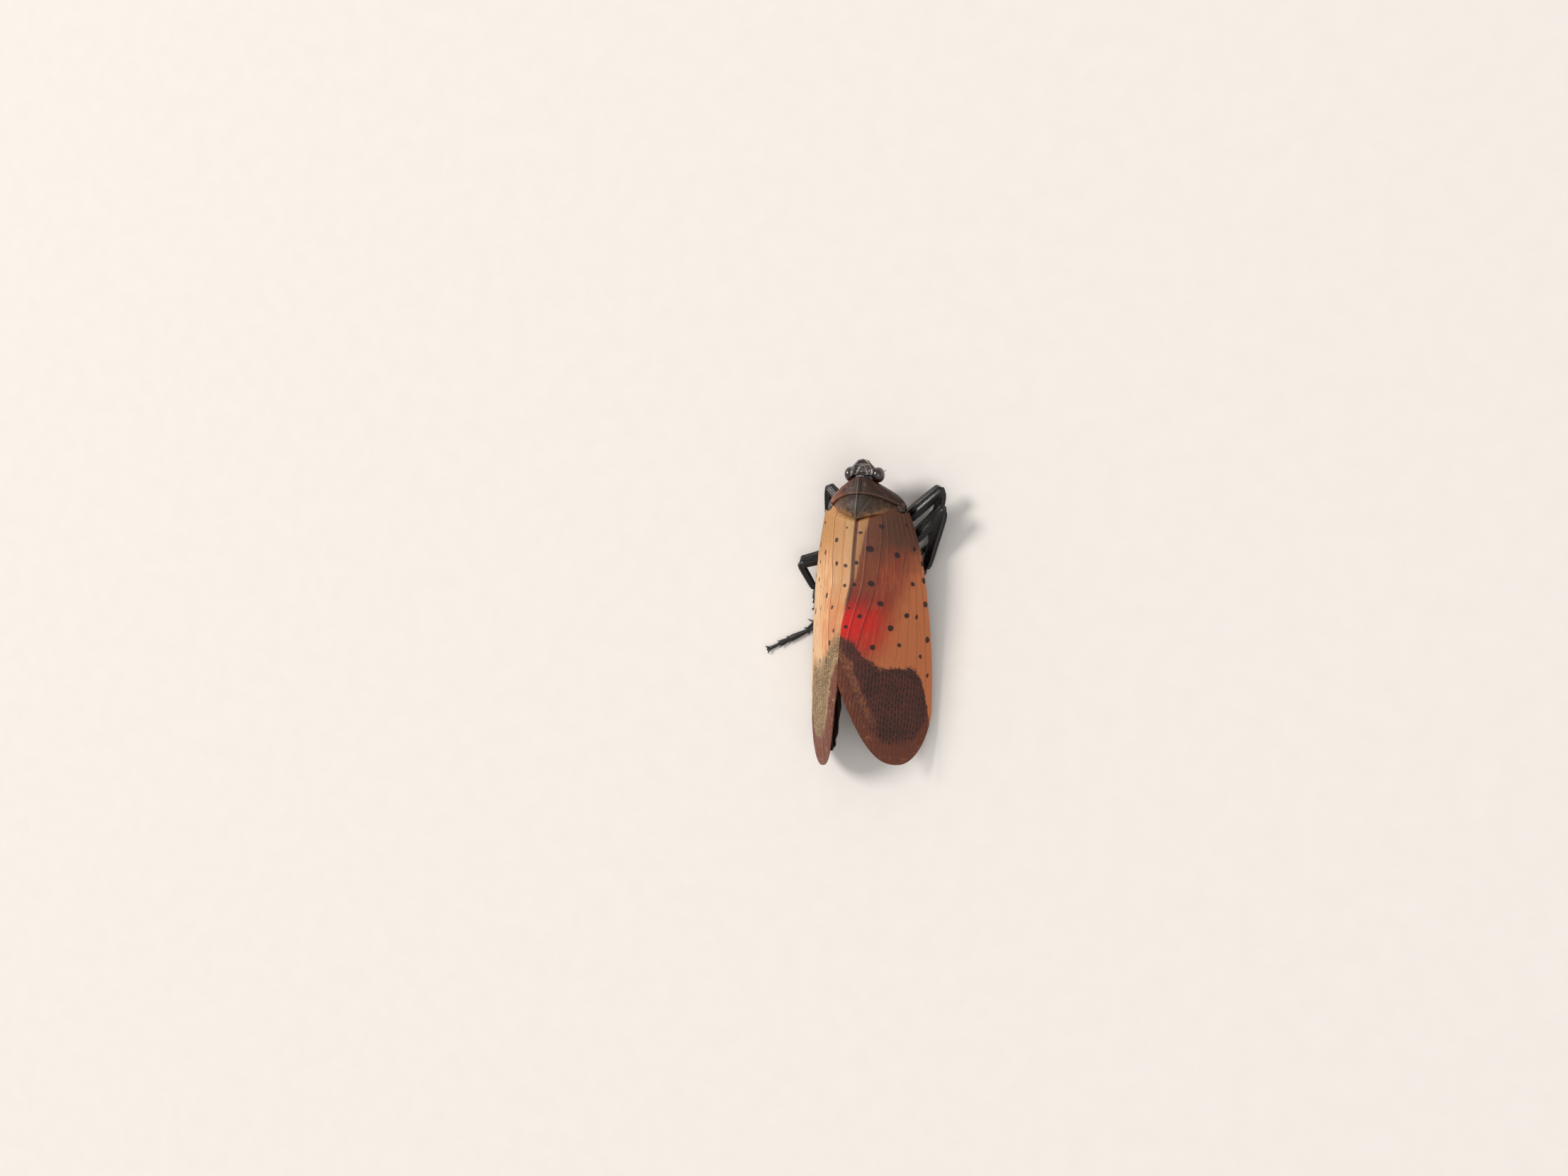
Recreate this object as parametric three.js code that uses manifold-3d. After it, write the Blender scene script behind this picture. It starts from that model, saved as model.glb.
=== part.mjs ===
// A spotted lanternfly at rest with its wings folded like a roof, at life size, in millimetres.
// The head looks along -Y, +X is the insect's left, +Z is up, and the feet stand on z = 0.
// The origin is below the middle of the model's box. The shapes are first laid out about the body's own
// middle, and moved there at the end.

import * as THREE from "three";
import { mergeVertices } from "three/addons/utils/BufferGeometryUtils.js";
import Module from "manifold-3d";

const wasm = await Module();
wasm.setup();

// Driving dimensions
const GAP = 0.25; // clear space between sub-parts that touch
const WING_THICK = 0.5;
const RIM_THICK = 0.4; // wing thickness at its margins
const VEIN_HIGH = 0.13;
const SOLE_Z = 0; // level of all the flats that the feet stand on

const v3 = (x, y, z) => new THREE.Vector3(x, y, z);
const lerp = THREE.MathUtils.lerp;
const LEFT = 1;
const RIGHT = -1;
const SIDES = { left: LEFT, right: RIGHT };

// Solids

// The solid inside a closed three.js geometry.
function solidOf(geometry) {
  const bare = geometry.index ? geometry.toNonIndexed() : geometry.clone();
  for (const name of Object.keys(bare.attributes)) {
    if (name !== "position") bare.deleteAttribute(name);
  }
  const merged = mergeVertices(bare, 1e-5);
  const corners = merged.index.array;
  const kept = [];
  for (let i = 0; i < corners.length; i += 3) {
    const [a, b, c] = corners.subarray(i, i + 3);
    if (a !== b && b !== c && c !== a) kept.push(a, b, c);
  }
  const build = (faces) =>
    new wasm.Manifold(
      new wasm.Mesh({
        numProp: 3,
        vertProperties: Float32Array.from(merged.attributes.position.array),
        triVerts: Uint32Array.from(faces),
      }),
    );
  const made = build(kept);
  return made.volume() > 0 ? made : build(kept.reverse());
}

function geometryOf(points, faces) {
  return new THREE.BufferGeometry().setFromPoints(points).setIndex(faces);
}

// The largest closed surface of a solid, without loose scraps or sealed hollows.
function largest(solid) {
  return solid.decompose().reduce((a, b) => (b.volume() > a.volume() ? b : a));
}

function fuse(pieces) {
  return largest(pieces.reduce((a, b) => a.add(b)));
}

function cut(solid, ...tools) {
  return largest(tools.reduce((a, b) => a.subtract(b), solid));
}

// A closed skin over rings with equal numbers of points, with a fan over each end.
function loft(rings) {
  const count = rings[0].length;
  const points = rings.flat();
  const faces = [];
  for (let r = 0; r + 1 < rings.length; r++) {
    for (let i = 0; i < count; i++) {
      const a = r * count + i;
      const b = r * count + ((i + 1) % count);
      faces.push(a, b, a + count, b, b + count, a + count);
    }
  }
  for (const [ring, start, back] of [
    [rings[0], 0, true],
    [rings.at(-1), (rings.length - 1) * count, false],
  ]) {
    const centre = ring.reduce((a, b) => a.clone().add(b), v3(0, 0, 0)).divideScalar(count);
    points.push(centre);
    for (let i = 0; i < count; i++) {
      const a = start + i;
      const b = start + ((i + 1) % count);
      faces.push(...(back ? [b, a, points.length - 1] : [a, b, points.length - 1]));
    }
  }
  return solidOf(geometryOf(points, faces));
}

// A rounded ring of points in the plane of two axes. power 2 is an ellipse and more is squarer.
function ringAround(centre, across, up, halfWidth, rise, fall, sides, power = 2) {
  return Array.from({ length: sides }, (_, i) => {
    const angle = (2 * Math.PI * (i + 0.5)) / sides;
    const c = Math.cos(angle);
    const s = Math.sin(angle);
    const x = halfWidth * Math.sign(c) * Math.abs(c) ** (2 / power);
    const z = (s > 0 ? rise : fall) * Math.sign(s) * Math.abs(s) ** (2 / power);
    return centre.clone().addScaledVector(across, x).addScaledVector(up, z);
  });
}

// A limb along a smooth curve through path. Each station is [share of length, half width, half depth].
function limb(path, stations, { side = v3(0, 0, 1), sides = 8, power = 2.4 } = {}) {
  const curve = new THREE.CatmullRomCurve3(path, false, "centripetal");
  const rings = stations.map(([share, halfWidth, halfDepth]) => {
    const centre = curve.getPointAt(share);
    const along = curve.getTangentAt(share);
    const across = side.clone().cross(along).normalize();
    const up = along.clone().cross(across).normalize();
    return ringAround(centre, across, up, halfWidth, halfDepth, halfDepth, sides, power);
  });
  return loft(rings);
}

// A pointed spine whose root is sunk into what it grows from.
function spine(root, tip, radius, sides = 5) {
  const along = tip.clone().sub(root);
  const cone = new THREE.ConeGeometry(radius, along.length(), sides, 1);
  const turn = new THREE.Quaternion().setFromUnitVectors(v3(0, 1, 0), along.clone().normalize());
  const middle = root.clone().addScaledVector(along, 0.5);
  cone.applyMatrix4(new THREE.Matrix4().compose(middle, turn, v3(1, 1, 1)));
  return solidOf(cone);
}

function ellipsoid(centre, halfSizes, { grow = 0, turn = v3(0, 0, 0), wide = 14, high = 10 } = {}) {
  const ball = new THREE.SphereGeometry(1, wide, high);
  ball.rotateX(Math.PI / 2);
  ball.scale(halfSizes.x + grow, halfSizes.y + grow, halfSizes.z + grow);
  ball.applyQuaternion(new THREE.Quaternion().setFromEuler(new THREE.Euler(turn.x, turn.y, turn.z)));
  ball.translate(centre.x, centre.y, centre.z);
  return solidOf(ball);
}

// A closed plate: outer(i, j) and inner(i, j) give matching points of its two faces.
function plate(columns, rows, outer, inner) {
  const points = [];
  for (const face of [outer, inner]) {
    for (let i = 0; i <= columns; i++) {
      for (let j = 0; j <= rows; j++) points.push(face(i, j));
    }
  }
  const at = (i, j, layer) => layer * (columns + 1) * (rows + 1) + i * (rows + 1) + j;
  const faces = [];
  for (let i = 0; i < columns; i++) {
    for (let j = 0; j < rows; j++) {
      const quad = [at(i, j, 0), at(i + 1, j, 0), at(i + 1, j + 1, 0), at(i, j + 1, 0)];
      const below = [at(i, j, 1), at(i + 1, j, 1), at(i + 1, j + 1, 1), at(i, j + 1, 1)];
      faces.push(quad[0], quad[1], quad[2], quad[0], quad[2], quad[3]);
      faces.push(below[0], below[2], below[1], below[0], below[3], below[2]);
    }
  }
  const rim = [];
  for (let i = 0; i < columns; i++) rim.push([i, 0]);
  for (let j = 0; j < rows; j++) rim.push([columns, j]);
  for (let i = columns; i > 0; i--) rim.push([i, rows]);
  for (let j = rows; j > 0; j--) rim.push([0, j]);
  rim.forEach(([i, j], k) => {
    const [m, n] = rim[(k + 1) % rim.length];
    faces.push(at(i, j, 0), at(i, j, 1), at(m, n, 1), at(i, j, 0), at(m, n, 1), at(m, n, 0));
  });
  return solidOf(geometryOf(points, faces));
}

// The wings' shape over the back

// The ridge where the two forewings meet: [y, x, z]
const RIDGE = [
  [-9.0, 0, 5.45],
  [-7.4, 0, 5.6],
  [-4.8, -0.08, 6.12],
  [-2.4, -0.18, 6.55],
  [-0.5, 0.08, 6.86],
  [1.2, 0.3, 7.08],
  [5.7, 0.36, 7.2],
  [9.0, 0.25, 6.7],
  [13.0, 0.1, 5.7],
];
// The outer margin of the forewings: [y, half width, z]
const COSTA = [
  [-9.0, 3.5, 3.75],
  [-7.4, 4.0, 3.1],
  [-4.5, 4.68, 2.3],
  [0.0, 5.18, 1.5],
  [5.0, 5.42, 0.95],
  [13.0, 5.3, 0.6],
];
// The folded wings trail a little toward the insect's right.
const SWAY_FROM = -2;
const SWAY_RATE = 0.02;
// How far the wing bulges between its margins: [y, bulge]
const SWELL = [
  [-9.0, 0.8],
  [0.0, 0.68],
  [6.0, 0.45],
  [13.0, 0.2],
];

// The values between stations [place, ...values], joined smoothly.
function follow(stations, place) {
  const last = stations.length - 1;
  const at = (k) => stations[THREE.MathUtils.clamp(k, 0, last)];
  const k = THREE.MathUtils.clamp(stations.findLastIndex((s) => s[0] <= place), 0, last - 1);
  const span = at(k + 1)[0] - at(k)[0];
  const t = THREE.MathUtils.clamp((place - at(k)[0]) / span, 0, 1);
  const slope = (m, c) => (span * (at(m + 1)[c] - at(m - 1)[c])) / (at(m + 1)[0] - at(m - 1)[0]);
  return at(k)
    .slice(1)
    .map((from, i) => {
      const to = at(k + 1)[i + 1];
      const rest = (t - 1) * slope(k, i + 1) + t * slope(k + 1, i + 1);
      return from + (to - from) * t * t * (3 - 2 * t) + t * (t - 1) * rest;
    });
}

// A point of a wing's outer face. across runs from the ridge, 0, to the outer margin, 1.
// sink is the depth below that face, straight down at the ridge and square to the wing at its margin.
function roofPoint(side, y, across, sink = 0) {
  const [ridgeX, ridgeZ] = follow(RIDGE, y);
  const [halfWidth, costaZ] = follow(COSTA, y);
  const [swell] = follow(SWELL, y);
  const sway = -SWAY_RATE * Math.max(0, y - SWAY_FROM);
  const inner = v3(ridgeX + (side * GAP) / 2, y, ridgeZ);
  const outer = v3(side * halfWidth + sway, y, costaZ);
  const chord = outer.clone().sub(inner);
  const normal = v3(-side * chord.z, 0, side * chord.x).normalize();
  const way = v3(0, 0, 1).lerp(normal, across).normalize();
  return inner
    .clone()
    .lerp(outer, across)
    .addScaledVector(normal, swell * Math.sin(Math.PI * across ** 0.75))
    .addScaledVector(way, -sink / way.dot(normal));
}

// Where the forewing starts and ends along the body, for each place across it.
const FOREWING = {
  scutellarY: -7.27,
  tailY: { [LEFT]: 12.7, [RIGHT]: 12.15 },
  apexAcross: 0.62,
  innerDrop: 21.5,
  innerPower: 2.5,
  outerDrop: 5.2,
};

function forewingStart(across) {
  const inner = 0.8 * Math.min(1, across / 0.77) ** 0.9;
  const outer = 0.25 * Math.max(0, (across - 0.77) / 0.23);
  return FOREWING.scutellarY - inner - outer;
}

function forewingEnd(side, across) {
  const { tailY, apexAcross, innerDrop, innerPower, outerDrop } = FOREWING;
  const from = across - apexAcross;
  if (from < 0) return tailY[side] - innerDrop * (-from) ** innerPower;
  const share = Math.min(1, (from / (1 - apexAcross)) * 0.985);
  return tailY[side] - outerDrop * (1 - Math.sqrt(1 - share * share));
}

// Lanes run along the wing and fan out from its root. Lane CLAVAL_LANE is the fold of the clavus.
const CLAVAL_LANE = 0.24;
const CLAVUS_ROOT = 0.42;
const CLAVUS_END = 0.06;

function acrossOf(lane, along) {
  const fold = lerp(CLAVUS_ROOT, CLAVUS_END, along);
  if (lane < CLAVAL_LANE) return (fold * lane) / CLAVAL_LANE;
  return fold + ((1 - fold) * (lane - CLAVAL_LANE)) / (1 - CLAVAL_LANE);
}

function forewingPoint(side, along, lane, sink) {
  const start = forewingStart(acrossOf(lane, 0));
  const end = forewingEnd(side, acrossOf(lane, 1));
  return roofPoint(side, lerp(start, end, along), acrossOf(lane, along), sink);
}

// Main veins of the forewing, each in its lane, from the inner margin to the outer one.
const VEIN_LANES = [0.1, CLAVAL_LANE, 0.36, 0.48, 0.6, 0.72, 0.83, 0.93];
const VEIN_HALF = 0.022;
const FOREWING_ROWS = 20;
const NODAL_ROW = 13; // where the net of fine veins starts

function forewing(side) {
  const lanes = [0, ...VEIN_LANES.flatMap((lane) => [lane - VEIN_HALF, lane, lane + VEIN_HALF]), 1];
  const isVein = (i) => i % 3 === 2 && i < lanes.length - 1;
  const rim = (share) => Math.min(1, share / 0.1, (1 - share) / 0.1);
  const outer = (i, j) => {
    const along = j / FOREWING_ROWS;
    const nodal = j === NODAL_ROW && i > 3 && i < lanes.length - 2;
    const raised = (isVein(i) && j > 0 && j < FOREWING_ROWS) || nodal;
    return forewingPoint(side, along, lanes[i], raised ? 0 : VEIN_HIGH);
  };
  const inner = (i, j) => {
    const along = j / FOREWING_ROWS;
    const thick = lerp(RIM_THICK, WING_THICK, Math.min(rim(lanes[i]), rim(along)));
    return forewingPoint(side, along, lanes[i], VEIN_HIGH + thick);
  };
  return plate(lanes.length - 1, FOREWING_ROWS, outer, inner);
}

// The hindwing is folded under the forewing, and the left one's tip shows between the wings.
const HINDWING = {
  startY: -6.5,
  inner: 0.07,
  outer: 0.72,
  shift: 0.05,
  short: 1.2,
  pleats: 5,
  pleatHigh: 0.06,
};
const HINDWING_SINK = VEIN_HIGH + WING_THICK + GAP + 0.02;

function hindwingPoint(side, along, lane, sink) {
  const pleat = HINDWING.pleatHigh * (1 + Math.cos(2 * Math.PI * HINDWING.pleats * lane));
  const across = lerp(HINDWING.inner, HINDWING.outer, lane);
  const endY = forewingEnd(side, across + HINDWING.shift) - HINDWING.short;
  return roofPoint(side, lerp(HINDWING.startY, endY, along), across, HINDWING_SINK + pleat + sink);
}

function hindwing(side) {
  const columns = HINDWING.pleats * 4;
  const rows = 10;
  const face = (sink) => (i, j) => hindwingPoint(side, j / rows, i / columns, sink);
  return plate(columns, rows, face(0), face(WING_THICK));
}

// Everything above the folded wings' lower faces, with clear space.
function roofCutter() {
  const columns = [-1.1, -0.8, -0.6, -0.4, -0.2, -0.07, 0.07, 0.2, 0.4, 0.6, 0.8, 1.1];
  const hindFrom = HINDWING.startY - GAP;
  const shallow = VEIN_HIGH + WING_THICK + GAP;
  const deep = HINDWING_SINK + 2 * HINDWING.pleatHigh + WING_THICK + GAP;
  const rows = [-8.8, -8.0, -7.3, hindFrom].map((y) => [y, shallow]);
  rows.push([hindFrom + 0.01, deep]);
  for (let y = -6; y <= 12; y += 1.5) rows.push([y, deep]);
  const at = (i, y, sink) => roofPoint(Math.sign(columns[i]), y, Math.abs(columns[i]), sink);
  return plate(
    columns.length - 1,
    rows.length - 1,
    (i, j) => at(i, rows[j][0], -2),
    (i, j) => at(i, rows[j][0], rows[j][1]),
  );
}

// The back plates

const BACK = {
  neckY: -11.0,
  seamY: -9.7, // middle of the joint between pronotum and mesonotum
  scutellumY: -7.55,
  neckZ: 5.25,
  seamZ: 5.45,
  scutellumZ: 5.62,
  neckHalf: 1.6,
  shoulderHalf: 3.4,
  sweep: 1.05, // how far the seam runs back at the shoulders
  drop: 2.25, // how far the shoulders lie below the middle
};
const PLATE_THICK = 0.5;
const FACET_CLEAR = 0.32; // further clear space under the plates, since the cutter's facets are coarse

function seamY(s) {
  return BACK.seamY + BACK.sweep * Math.abs(s) ** 2.2;
}

// s runs from the right side, -1, to the left side, 1, and t from front to back.
function pronotumPoint(s, t, sink = 0) {
  const half = lerp(BACK.neckHalf, BACK.shoulderHalf, Math.sin((Math.max(0, t) * Math.PI) / 2) ** 0.8);
  const front = BACK.neckY + 0.75 * s * s;
  const keel = 0.1 * Math.max(0, 1 - Math.abs(s) / 0.09);
  const arch = lerp(1.55, BACK.drop, t) * Math.abs(s) ** 2.3;
  const z = lerp(BACK.neckZ, BACK.seamZ, Math.sin((t * Math.PI) / 2)) + keel - arch;
  const lean = lerp(0.5, 1, t) * 0.55 * s;
  return v3(s * half, lerp(front, seamY(s), t), z).add(v3(-lean * sink, 0, -sink));
}

function mesonotumPoint(s, t, sink = 0) {
  const half = lerp(BACK.shoulderHalf - 0.14, BACK.shoulderHalf - 0.45, t);
  const front = seamY(s) + GAP;
  const rear = BACK.scutellumY - 0.78 * Math.abs(s) ** 0.9;
  const dome = 0.16 * Math.sin(Math.PI * t) * (1 - s * s);
  const arch = lerp(BACK.drop, 1.75, t) * Math.abs(s) ** 2;
  const z = lerp(BACK.seamZ, BACK.scutellumZ, t) + dome - arch;
  const y = lerp(front, Math.max(rear, front + 0.22), t);
  return v3(s * half, y, z).add(v3(-0.5 * s * sink, 0, -sink));
}

function backPlate(surface, columns, rows) {
  const face = (sink) => (i, j) => surface((2 * i) / columns - 1, j / rows, sink);
  return plate(columns, rows, face(0), face(PLATE_THICK));
}

// What the plates and wings need clear below them, cut out of the body.
function backCutter() {
  const under = PLATE_THICK + GAP + FACET_CLEAR;
  const rows = 8;
  const columns = 22;
  const surface = (s, t, sink) => {
    const reach = s * 1.15;
    if (t < 0.5) return pronotumPoint(reach, lerp(-0.3, 1, 2 * t), sink);
    return mesonotumPoint(reach, lerp(0, 1.35, 2 * t - 1), sink);
  };
  const face = (sink) => (i, j) => surface((2 * i) / columns - 1, j / rows, sink);
  return plate(columns, rows, face(-2.5), face(under));
}

// A barrel of the body from stations [y, middle height, half width, rise, fall].
function barrel(stations, { sides = 16, power = 2.3, grow = 0 } = {}) {
  const last = stations.length - 1;
  const rings = stations.map(([y, z, halfWidth, rise, fall], k) => {
    const shift = k === 0 ? -grow : k === last ? grow : 0;
    const centre = v3(0, y + shift, z);
    const reach = [halfWidth, rise, fall].map((half) => half + grow);
    return ringAround(centre, v3(1, 0, 0), v3(0, 0, 1), ...reach, sides, power);
  });
  return loft(rings);
}

// Head

// Levels of the head from its lower lip to its crown: [z, front y, back y, front half width, back half width]
const HEAD_LEVELS = [
  [2.5, -10.95, -10.62, 0.2, 0.22],
  [2.75, -11.25, -10.6, 0.34, 0.36],
  [3.2, -11.6, -10.62, 0.5, 0.62],
  [3.7, -11.85, -10.7, 0.6, 0.86],
  [4.2, -12.05, -10.95, 0.62, 1.02],
  [4.5, -12.28, -11.2, 0.6, 1.08],
  [4.75, -12.46, -11.24, 0.56, 1.06],
  [4.92, -12.42, -11.28, 0.48, 0.94],
];

function headRing([z, frontY, backY, front, back]) {
  const half = [
    [0, frontY - 0.04],
    [0.62 * front, frontY],
    [front, frontY + 0.16],
    [lerp(front, back, 0.65), lerp(frontY, backY, 0.45)],
    [back, lerp(frontY, backY, 0.8)],
    [0.8 * back, backY],
  ];
  const right = half.slice(1).reverse().map(([x, y]) => [-x, y]);
  return [...half, [0, backY + 0.02], ...right].map(([x, y]) => v3(x, y, z));
}

const EYE = { centre: v3(1.17, -11.24, 4.26), half: v3(0.54, 0.62, 0.68) };
const EYE_TURN = v3(0.25, 0.12, 0);
const ANTENNA = { root: v3(0.45, -11.2, 3.1), bulb: v3(0.85, -11.36, 2.95), tip: v3(0.98, -11.8, 2.0) };

const mirrored = (point, side) => v3(side * point.x, point.y, point.z);
const mirroredTurn = (turn, side) => v3(turn.x, side * turn.y, side * turn.z);

function eye(side, grow = 0) {
  return ellipsoid(mirrored(EYE.centre, side), EYE.half, { grow, turn: mirroredTurn(EYE_TURN, side) });
}

function antenna(side, grow = 0) {
  const root = mirrored(ANTENNA.root, side);
  const bulb = mirrored(ANTENNA.bulb, side);
  const tip = mirrored(ANTENNA.tip, side);
  const thick = 0.24 + grow;
  const stalk = limb([inFrom(root, bulb, -grow), bulb], [[0, thick, thick], [1, thick, thick]], { sides: 8 });
  const swelling = ellipsoid(bulb, v3(0.36, 0.34, 0.34), { grow, wide: 10, high: 8 });
  const bristle = limb([bulb, tip], [[0, 0.25, 0.25], [0.35, 0.2, 0.2], [1, 0.05, 0.05]], { sides: 6 });
  return fuse([stalk, swelling, bristle]);
}

// Raised edges of the crown and of the face.
function headKeels() {
  const keel = (path, thick) => {
    const end = thick * 0.6;
    return limb(path, [[0, end, end], [0.5, thick, thick], [1, end, end]], { sides: 6 });
  };
  const crown = [LEFT, RIGHT].map((side) =>
    keel([v3(side * 0.4, -12.3, 4.86), v3(side * 0.7, -11.8, 4.9), v3(side * 0.86, -11.38, 4.84)], 0.12),
  );
  const face = [LEFT, RIGHT].map((side) =>
    keel([v3(side * 0.46, -12.34, 4.7), v3(side * 0.56, -12.0, 4.0), v3(side * 0.44, -11.55, 3.2)], 0.12),
  );
  const brow = keel([v3(-0.46, -12.3, 4.88), v3(0, -12.18, 4.95), v3(0.46, -12.3, 4.88)], 0.12);
  return [...crown, ...face, brow];
}

function head() {
  const shell = fuse([loft(HEAD_LEVELS.map(headRing)), ...headKeels()]);
  const sockets = [LEFT, RIGHT].flatMap((side) => [eye(side, GAP * 0.6), antenna(side, GAP * 0.8)]);
  return cut(shell, ...sockets);
}

// The beak runs back between the legs.
const BEAK = [v3(0, -10.9, 2.1), v3(0, -10.2, 1.6), v3(0, -8.6, 1.25), v3(0, -6.6, 1.15), v3(0, -4.7, 1.15)];

function rostrum() {
  const stations = [
    [0, 0.22, 0.22],
    [0.12, 0.28, 0.26],
    [0.55, 0.25, 0.25],
    [0.9, 0.25, 0.25],
    [1, 0.12, 0.12],
  ];
  return limb(BEAK, stations);
}

// Thorax and legs

// Stations of the body core under the back plates.
const THORAX = [
  [-10.35, 4.0, 0.9, 0.75, 1.1],
  [-10.0, 3.9, 1.2, 1.1, 1.4],
  [-9.2, 3.8, 2.3, 1.4, 1.65],
  [-8.2, 3.75, 2.68, 1.4, 1.6],
  [-7.2, 3.65, 2.7, 1.3, 1.65],
  [-6.2, 3.6, 2.4, 1.2, 1.6],
  [-4.95, 3.5, 1.9, 1.0, 1.4],
];
// Stations of the hind body, whose width and depth step at each ring.
const ABDOMEN = {
  startY: -4.75,
  endY: 6.3,
  rings: 8,
  halfWidth: 2.05,
  rise: 1.35,
  fall: 1.1,
  z: 3.6,
  tipZ: 3.0,
};

const LEGS = {
  foreleg_left: {
    coxa: [v3(1.0, -9.2, 2.7), v3(1.5, -8.1, 2.05)],
    knee: v3(4.23, -10.4, 1.75),
    ankle: v3(4.45, -6.3, 0.42),
    toe: v3(4.25, -4.4, 0.27),
  },
  foreleg_right: {
    coxa: [v3(-1.0, -9.0, 2.7), v3(-1.9, -6.9, 2.05)],
    knee: v3(-6.0, -10.45, 2.25),
    femurHalf: 0.6,
    tibiaHalf: 0.46,
    ankle: v3(-4.65, -5.9, 0.42),
    toe: v3(-3.1, -4.75, 0.27),
  },
  midleg_left: {
    coxa: [v3(1.4, -6.3, 2.5), v3(1.95, -5.35, 1.95)],
    knee: v3(6.4, -3.9, 1.8),
    sag: 0.62,
    femurHalf: 0.58,
    ankle: v3(5.5, -1.75, 0.42),
    toe: v3(5.4, -0.05, 0.27),
  },
  midleg_right: {
    coxa: [v3(-1.2, -6.0, 2.5), v3(-2.15, -4.9, 1.95)],
    knee: v3(-6.4, -8.9, 2.7),
    sag: 0.4,
    femurHalf: 0.6,
    tibiaHalf: 0.48,
    ankle: v3(-4.25, -3.8, 0.42),
    toe: v3(-3.05, -2.2, 0.27),
  },
  hindleg_left: {
    coxa: [v3(0.95, -5.3, 2.5), v3(1.3, -4.3, 1.7)],
    knee: v3(2.6, -1.0, 1.1),
    ankle: v3(5.95, 1.75, 0.38),
    toe: v3(9.65, 3.6, 0.27),
  },
  hindleg_right: {
    coxa: [v3(-0.95, -5.3, 2.5), v3(-1.3, -4.3, 1.7)],
    knee: v3(-2.6, -1.8, 1.35),
    ankle: v3(-4.2, 3.0, 0.4),
    toe: v3(-4.2, 7.2, 0.27),
  },
};

const LEG_SIZES = {
  foreleg: { femur: 0.46, tibia: 0.35, tarsus: 0.26 },
  midleg: { femur: 0.46, tibia: 0.35, tarsus: 0.26 },
  hindleg: { femur: 0.44, tibia: 0.32, tarsus: 0.27 },
};

const legKind = (name) => name.split("_")[0];

// A leg's own half width where it has one, and its kind's otherwise
const femurHalf = (name) => LEGS[name].femurHalf ?? LEG_SIZES[legKind(name)].femur;
const tibiaHalf = (name) => LEGS[name].tibiaHalf ?? LEG_SIZES[legKind(name)].tibia;

const widened = (stations, grow) => stations.map(([share, w, d]) => [share, w + grow, d + grow]);

// The point on the way from one end of a leg segment to the other, a set distance in.
function inFrom(start, end, distance) {
  return start.clone().addScaledVector(end.clone().sub(start).normalize(), distance);
}

function coxa({ coxa: [root, end] }, grow = 0) {
  const stations = [[0, 0.55, 0.5], [0.55, 0.5, 0.46], [1, 0.32, 0.32]];
  const reach = inFrom(end, root, -grow);
  return limb([root, reach], widened(stations, grow), { side: v3(1, 0, 0) });
}

// grow makes the cutter that clears the next segment.
function femur(name, leg, grow = 0) {
  const { coxa: [, hip], knee, sag = -0.12 } = leg;
  const half = femurHalf(name);
  const start = inFrom(hip, knee, 0.1);
  const reach = inFrom(knee, hip, -grow);
  const bow = start.clone().lerp(knee, 0.6).add(v3(0, 0, -sag));
  const stations = [
    [0, 0.26, 0.26],
    [0.14, half * 0.72, 0.3],
    [0.5, half, 0.36],
    [0.88, half * 0.92, 0.36],
    [1, 0.34, 0.3],
  ];
  const shaft = limb([start, bow, reach], widened(stations, grow), { power: 2.8 });
  return grow ? shaft : cut(shaft, coxa(leg, GAP));
}

// Spines down both edges of the hind tibia, and a crown of them round its end.
function tibiaSpines(start, end, side) {
  const along = end.clone().sub(start).normalize();
  const out = v3(0, 0, 1).cross(along).normalize();
  const edge = [0.3, 0.46, 0.62, 0.78].map((share, k) => {
    const root = start.clone().lerp(end, share).addScaledVector(out, side * 0.12);
    const length = 0.56 + 0.03 * k;
    return spine(root, root.clone().addScaledVector(out, side * length).addScaledVector(along, 0.42), 0.16);
  });
  return [...edge, ...crownSpines(end, along, 6, 0.28, 0.46)];
}

function crownSpines(end, along, count, ring, length) {
  const out = v3(0, 0, 1).cross(along).normalize();
  const up = along.clone().cross(out).normalize();
  return Array.from({ length: count }, (_, k) => {
    const angle = (Math.PI * (k + 0.5)) / count;
    const way = out.clone().multiplyScalar(Math.cos(angle)).addScaledVector(up, Math.sin(angle) * 0.6);
    const root = end.clone().addScaledVector(along, -0.25).addScaledVector(way, 0.06);
    const tip = end.clone().addScaledVector(along, length - 0.3).addScaledVector(way, ring + 0.12);
    return spine(root, tip, 0.14, 4);
  });
}

function tibia(name, leg, grow = 0) {
  const { knee, ankle } = leg;
  const half = tibiaHalf(name);
  const start = inFrom(knee, ankle, 0.1);
  const end = inFrom(ankle, knee, 0.05 - grow);
  const stations = [
    [0, 0.26, 0.26],
    [0.12, half, 0.3],
    [0.55, half, 0.29],
    [0.92, half * 0.9, 0.26],
    [1, 0.26, 0.24],
  ];
  const shaft = limb([start, end], widened(stations, grow), { power: 2.8 });
  if (grow) return shaft;
  const outward = knee.x > 0 ? RIGHT : LEFT;
  const spines = legKind(name) === "hindleg" ? tibiaSpines(start, end, outward) : [];
  return cut(fuse([shaft, ...spines]), femur(name, leg, GAP));
}

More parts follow.
